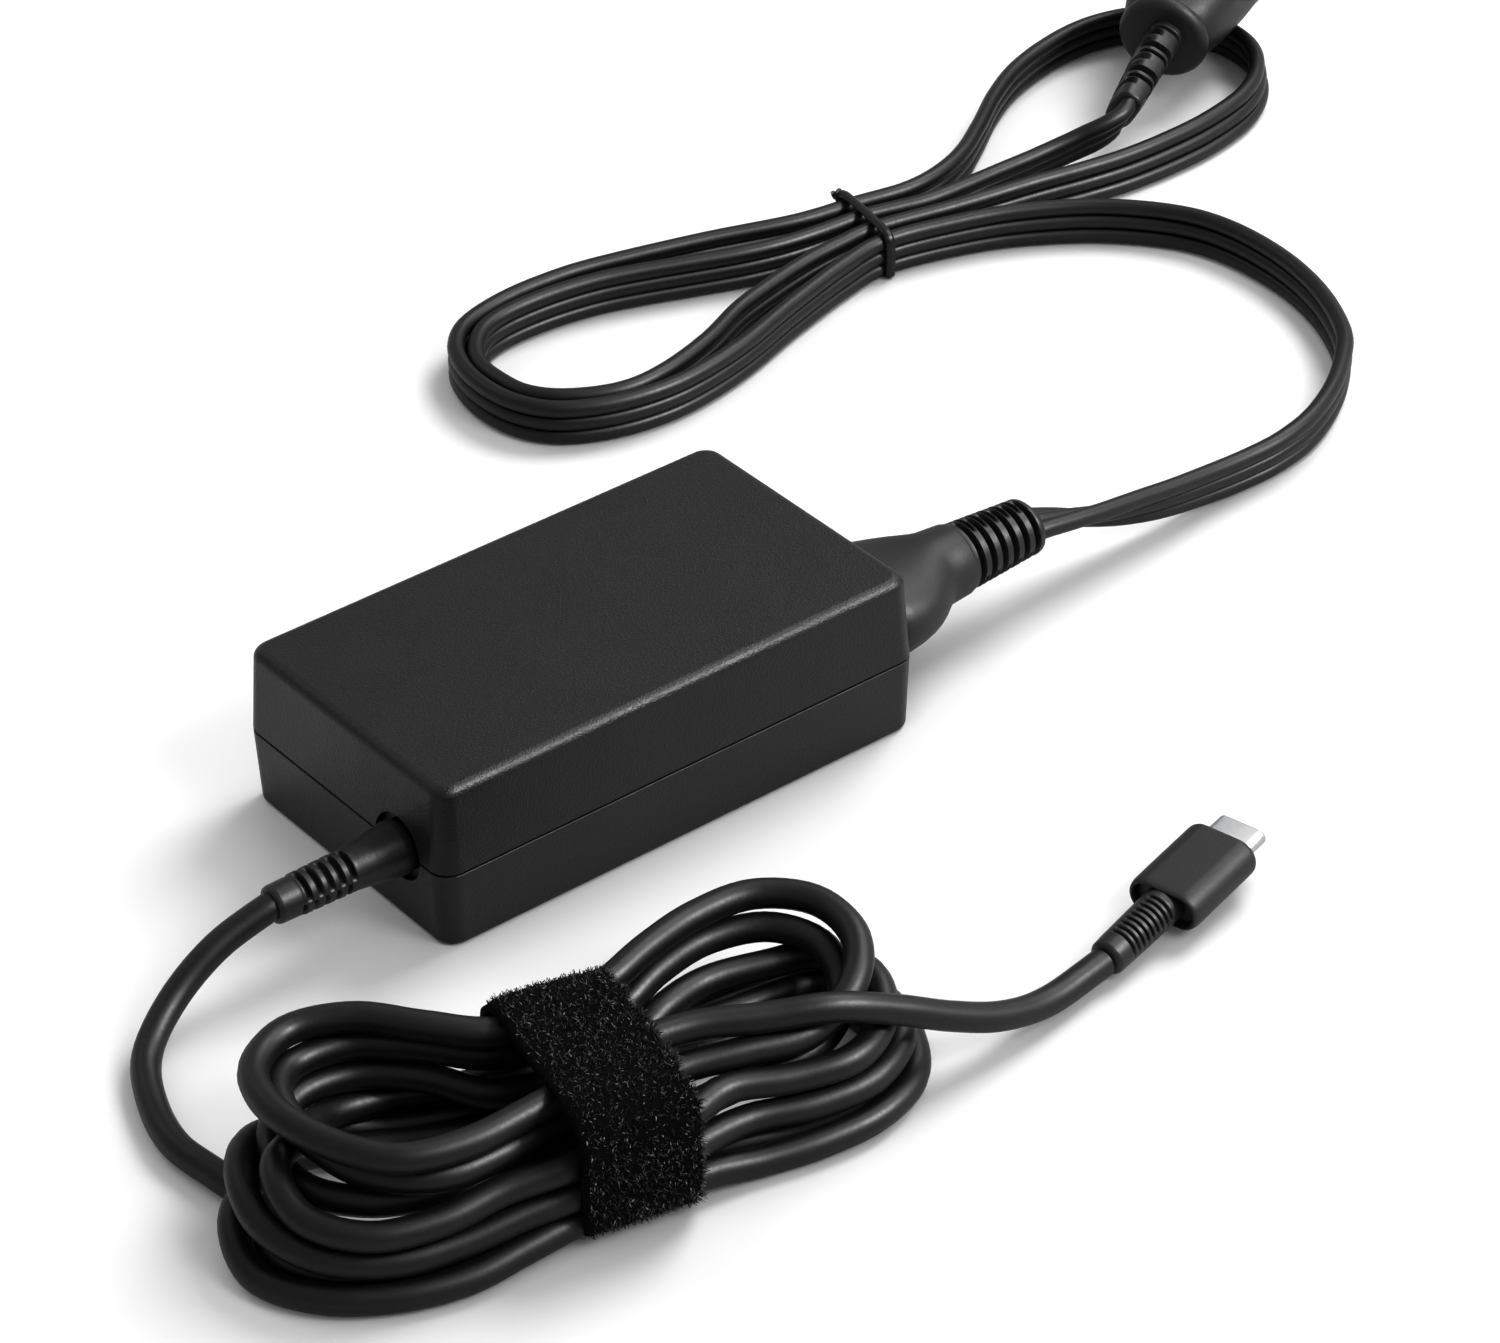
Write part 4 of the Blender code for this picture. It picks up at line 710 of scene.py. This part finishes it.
def make_nap(outer, line):
    """Short looped fibres over the strap's outside, and longer loose ones along its right edge."""
    dice = random.Random(23)
    points = []
    faces = []
    rows = len(outer)
    across = len(outer[0]) - 1

    def any_way():
        return Vector((dice.uniform(-1, 1), dice.uniform(-1, 1), dice.uniform(-1, 1)))

    def fibre(root, lean, length, thickness):
        side = lean.cross(any_way()).normalized()
        bend = side.cross(lean).normalized() * dice.uniform(0.2, 0.7) * length
        base = len(points)
        for part, share in enumerate((0.0, 0.5, 1.0)):
            centre = root + lean * (length * (share - 0.12 * share * share)) + bend * share * share
            wide = thickness * (1.0 - 0.45 * share)
            points.extend((centre - side * wide, centre + side * wide, centre + bend.normalized() * wide))
            if part:
                low = base + (part - 1) * 3
                for k in range(3):
                    after = (k + 1) % 3
                    faces.append((low + k, low + after, low + 3 + after, low + 3 + k))
        faces.append((base, base + 1, base + 2))
        faces.append((base + 6, base + 7, base + 8))

    def root_at(row, column):
        low = outer[row][column]
        along = outer[min(row + 1, rows - 1)][column] - low
        aside = outer[row][min(column + 1, across)] - low
        return low + along * dice.random() + aside * dice.random()

    turn_v = hank_point(0, 1, 0)
    for _ in range(FIBRES):
        row = dice.randrange(rows - 1)
        column = dice.randrange(1, across)
        root = root_at(row, column)
        outward = line[row][1]
        normal = turn_v * outward.x + Vector((0, 0, outward.y))
        lean = normal * 0.75 + any_way() * 0.75
        if root.z < 1.2 and normal.z < -0.3:
            continue
        fibre(root - normal * 0.1, lean.normalized(), dice.uniform(0.4, 0.95), dice.uniform(0.07, 0.13))
    right = hank_point(1, 0, 0)
    for _ in range(EDGE_FIBRES):
        row = dice.randrange(rows - 1)
        root = outer[row][across] - right * dice.uniform(0.0, 0.5)
        outward = line[row][1]
        normal = turn_v * outward.x + Vector((0, 0, outward.y))
        lean = right * dice.uniform(0.3, 1.0) + normal * dice.uniform(-0.2, 0.7)
        lean += any_way() * 0.4
        if root.z < 1.4:
            continue
        fibre(root, lean.normalized(), dice.uniform(0.4, 1.4), dice.uniform(0.05, 0.09))
    return solid("strap_nap", points, faces, NAP, 80)


USB_TURN = math.radians(13.0)
USB_TILT = math.radians(4.0)
USB_START = (25.8, -91.9, 3.6)


def make_usb_plug():
    level = math.cos(USB_TILT)
    direction = (math.cos(USB_TURN) * level, math.sin(USB_TURN) * level, math.sin(USB_TILT))
    sizes = ((-0.6, 4.6, 4.6, 2.0), (-0.3, 5.3, 5.3, 2.0), (0.1, 5.7, 5.7, 2.0), (2.4, 5.9, 5.9, 2.0),
             (12.9, 6.4, 6.0, 2.0), (15.2, 6.5, 5.2, 2.0))
    slots = []
    for at in range(9):
        near = 2.7 + at * 1.16
        for middle in (-55.0, 125.0):
            slots.append((near, near + 0.42, middle, 54.0))
    grip = relief("usb_relief", USB_START, direction, sizes, slots, SOFT, 0.85, 0.1, 0.09)
    body = []
    for far, width, height, radius in (
        (15.3, 10.2, 4.9, 2.4), (14.2, 10.6, 5.3, 2.6), (14.05, 10.9, 5.5, 2.7), (14.0, 11.4, 5.8, 2.8),
        (14.15, 11.8, 6.15, 2.95), (14.6, 12.1, 6.38, 3.1), (15.2, 12.3, 6.48, 3.15),
        (16.4, 12.35, 6.5, 3.15), (29.2, 12.35, 6.5, 3.15), (29.7, 12.2, 6.38, 3.1),
        (30.05, 11.85, 6.05, 2.95), (30.2, 11.3, 5.5, 2.7),
    ):
        body.append((far, round_rect(width, height, radius, 12)))
    overmould = weighted(along_axis("usb_overmould", USB_START, direction, body, MOULDED, 50), 50)
    start = Vector(USB_START) + Vector(direction).normalized() * 30.35
    outer = round_rect(8.34, 2.56, 1.25, 12)
    rolled = round_rect(8.1, 2.32, 1.13, 12)
    inner = round_rect(7.7, 1.92, 0.95, 12)
    shell = along_axis("usb_sleeve", start, direction, [
        (0.0, outer), (4.7, outer), (4.95, round_rect(8.26, 2.48, 1.21, 12)), (5.05, rolled),
        (5.0, inner), (1.0, inner),
    ], STEEL, 50)
    for piece, node, slot in (
        (grip, "usb_c_strain_relief", "soft"),
        (overmould, "usb_c_overmould", "moulded"),
        (shell, "usb_c_shell", "steel"),
    ):
        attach(piece, "adapter")
        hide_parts(node)
    return [grip, overmould, shell]


dc_relief = make_dc_relief()
strap, strap_outer, strap_run = make_strap()
strap_nap = make_nap(strap_outer, strap_run)
usb_pieces = make_usb_plug()

# Mains lead: connector, tie and plug

CONNECTOR_FACE_X = CASE_LENGTH / 2 + 0.4
NOSE_LENGTH = 9.6
NOSE_LOBES = ((4.95, -1.9), (-4.95, -1.9), (0.0, 3.55))
PIN_PLACES = ((5.0, -1.9), (-5.0, -1.9), (0.0, 3.6))


def nose_profile(shrink, count=96):
    points = []
    for step in range(count):
        angle = math.tau * (step + 0.5) / count
        ray = Vector((math.cos(angle), math.sin(angle)))
        reach = 4.9 - shrink
        for lobe in NOSE_LOBES:
            centre = Vector(lobe)
            along = centre.dot(ray)
            aside = (centre - along * ray).length
            radius = 4.3 - shrink
            if along > 0 and aside < radius:
                reach = max(reach, along + math.sqrt(radius**2 - aside**2))
        points.append(tuple(ray * reach))
    return points


def make_connector():
    centre = (0.0, INLET_Y, INLET_Z)
    tip = CONNECTOR_FACE_X - NOSE_LENGTH
    nose = along_axis("c5_nose", centre, (1, 0, 0), [
        (tip, nose_profile(0.5)), (tip + 0.15, nose_profile(0.2)), (tip + 0.45, nose_profile(0.0)),
        (CONNECTOR_FACE_X + 0.5, nose_profile(0.0)),
    ], MOULDED, 40)
    sockets = []
    for across, up in PIN_PLACES:
        at = (tip - 1.0, INLET_Y + across, INLET_Z + up)
        sockets.append(along_axis("socket", at, (1, 0, 0), [
            (far, superellipse(3.7, 3.7, 2, 32)) for far in (0.0, NOSE_LENGTH + 0.6)
        ], MOULDED))
    cut(nose, sockets)
    swell = (
        (CONNECTOR_FACE_X, 23.6, 12.2, 2.6),
        (CONNECTOR_FACE_X + 0.25, 24.5, 13.0, 2.6),
        (CONNECTOR_FACE_X + 0.9, 25.0, 13.6, 2.6),
        (48.5, 25.0, 13.4, 2.5),
        (51.0, 24.5, 12.9, 2.4),
        (53.4, 23.3, 12.5, 2.3),
        (55.6, 21.3, 12.4, 2.25),
        (57.6, 18.8, 12.5, 2.2),
        (59.4, 16.1, 12.6, 2.1),
        (60.6, 14.4, 12.6, 2.05),
        (61.6, 13.5, 12.5, 2.0),
        (63.4, 13.1, 12.3, 2.0),
        (66.0, 12.5, 12.1, 2.0),
        (66.5, 12.1, 11.8, 2.0),
        (66.7, 11.4, 11.2, 2.0),
    )
    body = along_axis("c5_body", centre, (1, 0, 0), [
        (x, superellipse(width, height, power, 96)) for x, width, height, power in swell
    ], MOULDED, 40)
    # Long slots on the flanks, and between each pair of them shorter ones at the top and bottom
    slots = []
    pitch = 2.4
    for at in range(6):
        near = 67.4 + at * pitch
        for middle in (150.0, 330.0):
            slots.append((near, near + 0.95, middle, 76.0))
        if at < 5:
            for middle in (62.0, 242.0):
                slots.append((near + pitch / 2 + 0.2, near + pitch / 2 + 0.75, middle, 40.0))
    sizes = ((66.4, 11.9, 11.7, 2.0), (67.0, 11.7, 11.5, 2.0), (80.2, 10.2, 9.6, 2.0), (81.0, 10.1, 9.3, 2.1),
             (81.6, 9.7, 8.6, 2.2), (81.9, 9.1, 7.4, 2.3))
    grip = relief("c5_relief", centre, (1, 0, 0), sizes, slots, SOFT, 1.75, 0.14, 0.12)
    whole = join("c5_connector", [body, nose])
    for piece, node, slot in ((whole, "c5_connector_body", "moulded"), (grip, "c5_strain_relief", "soft")):
        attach(piece, "mains_lead")
        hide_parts(node)
    return [whole, grip]


TIE_AT = Vector((132.7, 90.6))
TIE_ACROSS = Vector((0.31, 0.95)).normalized()


def make_tie():
    """A twisted tie round the four strands, its ends wound round each other at the far top edge."""
    along = Vector((TIE_ACROSS.y, -TIE_ACROSS.x))
    half = 8.75
    top = TABLE + MAINS_WIDTH
    section = [
        (-half - 0.55, 0.75, 0.0), (-half - 0.65, 4.4, 0.1), (-half - 0.5, 7.6, 0.0),
        (-half + 0.8, top + 0.55, -0.1), (-4.8, top + 0.7, -0.35), (-2.4, top + 0.62, -0.6),
        (0.0, top + 0.72, -0.9), (2.4, top + 0.66, -1.2), (4.8, top + 0.7, -1.6),
        (half - 1.0, top + 0.7, -2.1), (half + 0.3, top + 0.2, -2.4), (half + 0.6, 6.0, -2.0),
        (half + 0.6, 3.0, -1.0), (half + 0.4, 0.75, -0.3), (half - 1.0, 0.6, 0.0), (0.0, 0.6, 0.0),
        (-half + 1.0, 0.6, 0.0),
    ]

    def at(a, z, shift):
        flat = TIE_AT + TIE_ACROSS * a + along * shift
        return Vector((flat.x, flat.y, max(z, 0.6)))

    loop = [at(*entry) for entry in section]
    loop.append(loop[0])
    points = smooth_route(loop, 0.5)
    rings = []
    for k, point in enumerate(points[:-1]):
        ahead = points[(k + 1) % (len(points) - 1)] - points[k - 1 if k else len(points) - 2]
        level = ahead.normalized()
        side = level.cross(Vector((along.x, along.y, 0.0))).normalized()
        aside = side.cross(level)
        ring = []
        for step in range(10):
            angle = math.tau * step / 10
            ring.append(point + side * 0.4 * math.cos(angle) + aside * 0.95 * math.sin(angle))
        rings.append(ring)
    pieces = [skin("tie_loop", rings, TIE, 70, joined=True)]
    root = at(half - 0.2, top + 0.6, -2.2)
    lean = (Vector((along.x, along.y, 0.0)) * -0.85 + Vector((TIE_ACROSS.x, TIE_ACROSS.y, 0.0)) * 0.3
            + Vector((0, 0, -0.35))).normalized()
    side = lean.cross(Vector((0, 0, 1))).normalized()
    lift = side.cross(lean)
    for phase in (0.0, math.pi):
        rings = []
        for step in range(45):
            share = step / 44
            angle = phase + share * math.tau * 0.8
            swing = 0.42 * (1 - 0.2 * share)
            centre = root + lean * (1.9 * share) + side * math.cos(angle) * swing
            centre = centre + lift * math.sin(angle) * swing
            rings.append([centre + side * math.cos(q) * 0.46 + lift * math.sin(q) * 0.5
                          for q in (math.tau * m / 10 for m in range(10))])
        pieces.append(skin("tie_end", rings, TIE, 70))
    made = join("tie", pieces)
    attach(made, "mains_lead")
    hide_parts("cord_tie")
    return made


PLUG_DIRECTION = (0.862, 0.476, 0.17)
PLUG_START = (191.0, 87.9, 10.0)
PLUG_RELIEF_LENGTH = 22.0
PLUG_RELIEF_ROLL = -60.0


def make_mains_plug():
    along, across, up = axes_of(PLUG_DIRECTION)
    sizes = ((-0.3, 7.6, 3.9, 3.0), (0.0, 8.6, 4.8, 3.0), (0.3, 9.0, 5.2, 3.0), (2.4, 9.3, 5.6, 3.0),
             (PLUG_RELIEF_LENGTH, 9.9, 7.0, 2.8))
    slots = []
    for at in range(5):
        near = 3.2 + at * 3.7
        turned = (100.0, 280.0) if at % 2 == 0 else (10.0, 190.0)
        for middle in turned:
            slots.append((near, near + 1.3, middle, 62.0))
        other = (10.0, 190.0) if at % 2 == 0 else (100.0, 280.0)
        for middle in other:
            slots.append((near + 1.85, near + 2.6, middle, 50.0))
    grip = relief("plug_relief", PLUG_START, PLUG_DIRECTION, sizes, slots, SOFT, 1.6, 0.16, 0.15,
                  roll=PLUG_RELIEF_ROLL)
    sections = []
    for far, width, height, power in (
        (0.0, 14.6, 14.6, 2.0), (0.15, 15.6, 15.6, 2.0), (0.6, 16.7, 16.7, 2.0), (1.2, 17.3, 17.3, 2.0),
        (1.8, 17.4, 17.4, 2.0), (2.3, 17.2, 17.2, 2.0), (2.6, 16.6, 16.6, 2.0), (2.75, 16.0, 15.2, 2.1),
        (3.4, 17.0, 15.0, 2.3), (6.0, 18.4, 15.7, 2.4), (9.0, 19.8, 16.5, 2.6), (14.0, 21.5, 17.3, 2.8),
        (18.0, 22.7, 17.8, 3.0), (22.5, 23.7, 18.3, 3.1), (25.2, 24.3, 18.6, 3.3), (25.9, 24.3, 18.6, 3.3),
        (26.3, 23.9, 18.2, 3.3), (26.5, 23.3, 17.6, 3.3),
    ):
        sections.append((PLUG_RELIEF_LENGTH + far, superellipse(width, height, power, 96)))
    body = along_axis("plug_body", PLUG_START, PLUG_DIRECTION, sections, MOULDED, 40)
    face = Vector(PLUG_START) + along * (PLUG_RELIEF_LENGTH + 26.7)
    pieces = [(grip, "mains_plug_strain_relief", "soft"), (body, "mains_plug_body", "moulded")]
    for name, node, side in (
        ("blade_line", "mains_plug_blade_line", 1),
        ("blade_neutral", "mains_plug_blade_neutral", -1),
    ):
        centre = face + across * 6.35 * side + up * -2.4
        blade = along_axis(name, centre, along, [
            (-0.4, round_rect(1.4, 6.25, 0.25, 4)), (13.9, round_rect(1.5, 6.35, 0.25, 4)),
            (14.9, round_rect(1.4, 5.7, 0.25, 4)), (15.6, round_rect(1.1, 5.0, 0.25, 4)),
            (15.9, round_rect(0.8, 4.5, 0.2, 4)),
        ], NICKEL, 40)
        hole = along_axis("blade_hole", centre + along * 11.7 - across * 2.0, across, [
            (far, superellipse(3.1, 3.1, 2, 32)) for far in (0.0, 4.0)
        ], NICKEL)
        pieces.append((cut(blade, (hole,)), node, "nickel"))
    pin = along_axis("ground_pin", face + up * 5.6, along, [
        (far, superellipse(2 * radius, 2 * radius, 2, 48))
        for far, radius in ((-0.4, 2.4), (16.6, 2.4), (17.6, 2.25), (18.5, 1.85), (19.1, 1.3), (19.4, 0.7))
    ], NICKEL, 50)
    pieces.append((pin, "mains_plug_ground_pin", "nickel"))
    for piece, node, slot in pieces:
        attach(piece, "mains_lead")
        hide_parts(node)
    return [entry[0] for entry in pieces]


connector_pieces = make_connector()
tie = make_tie()
plug_pieces = make_mains_plug()


# Soft goods: the cords, the strap and its nap, attached to their bodies

for piece, slot in ((dc_cord, "cord_jacket"), (strap, "strap"), (strap_nap, "strap")):
    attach(piece, "adapter")
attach(mains_cord, "mains_lead")
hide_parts("dc_cord_from_case", "dc_cord_hank", "dc_cord_to_plug")
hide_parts("cord_strap")
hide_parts("mains_cord_from_connector", "mains_cord_hank", "mains_cord_right_lobe",
            "mains_cord_to_plug")


# What is carried over from the CAD: the electronics, the inlet, the contacts


def dress_nodes():
    slots = {entry["node"]: entry["material_slot"] for entry in frame["record"]["subparts"]}
    for name, node in frame["nodes"].items():
        look = INSIDE_LOOKS.get(slots.get(name))
        if look:
            node.data.materials.clear()
            node.data.materials.append(look)
            for face in node.data.polygons:
                face.material_index = 0


dress_nodes()


# Floor and light, in metres and watts

FLOOR_REACH = 4.0
WORLD_STRENGTH = 0.6
CONTRAST_GAMMA = 0.82
# Name, place, aim, size, power. The edge lamp only gives the near top edge its highlight.
LAMPS = (
    ("key", (0.9, 0.16, 1.05), (0.05, 0.0, 0.0), 0.7, 13.0),
    ("back", (-0.25, 1.0, 1.0), (0.05, 0.0, 0.0), 0.5, 1.5),
    ("fill", (0.3, -0.9, 1.0), (0.05, 0.0, 0.0), 0.5, 4.0),
    ("edge", (0.62, -0.74, 0.82), (0.0, -0.03, 0.02), 0.3, 34.0),
)


def make_studio():
    floor_data = bpy.data.meshes.new("floor")
    reach = FLOOR_REACH
    corners = [(-reach, -reach, 0), (reach, -reach, 0), (reach, reach, 0), (-reach, reach, 0)]
    floor_data.from_pydata(corners, [], [(0, 1, 2, 3)])
    floor = bpy.data.objects.new("floor", floor_data)
    bpy.context.scene.collection.objects.link(floor)
    pale = surface("floor_look", (0.9, 0.9, 0.9), 0.6, grain=40.0, bump=0.0, mottle=0.004, rough_swing=0.02,
                   specular=0.2)
    floor_data.materials.append(pale)
    world = bpy.data.worlds.new("studio")
    bpy.context.scene.world = world
    world.use_nodes = True
    background = world.node_tree.nodes["Background"]
    background.inputs["Color"].default_value = (1.0, 1.0, 1.0, 1.0)
    background.inputs["Strength"].default_value = WORLD_STRENGTH
    for name, place_at, aim, size, power in LAMPS:
        data = bpy.data.lights.new(name, "AREA")
        data.shape = "DISK"
        data.size = size
        data.energy = power
        lamp = bpy.data.objects.new(name, data)
        bpy.context.scene.collection.objects.link(lamp)
        lamp.location = place_at
        aim_at = Vector(aim) - Vector(place_at)
        lamp.rotation_euler = aim_at.to_track_quat("-Z", "Y").to_euler()
        lamp.visible_diffuse = name != "edge"
    bpy.context.scene.view_settings.view_transform = "Standard"
    bpy.context.scene.view_settings.gamma = CONTRAST_GAMMA


make_studio()
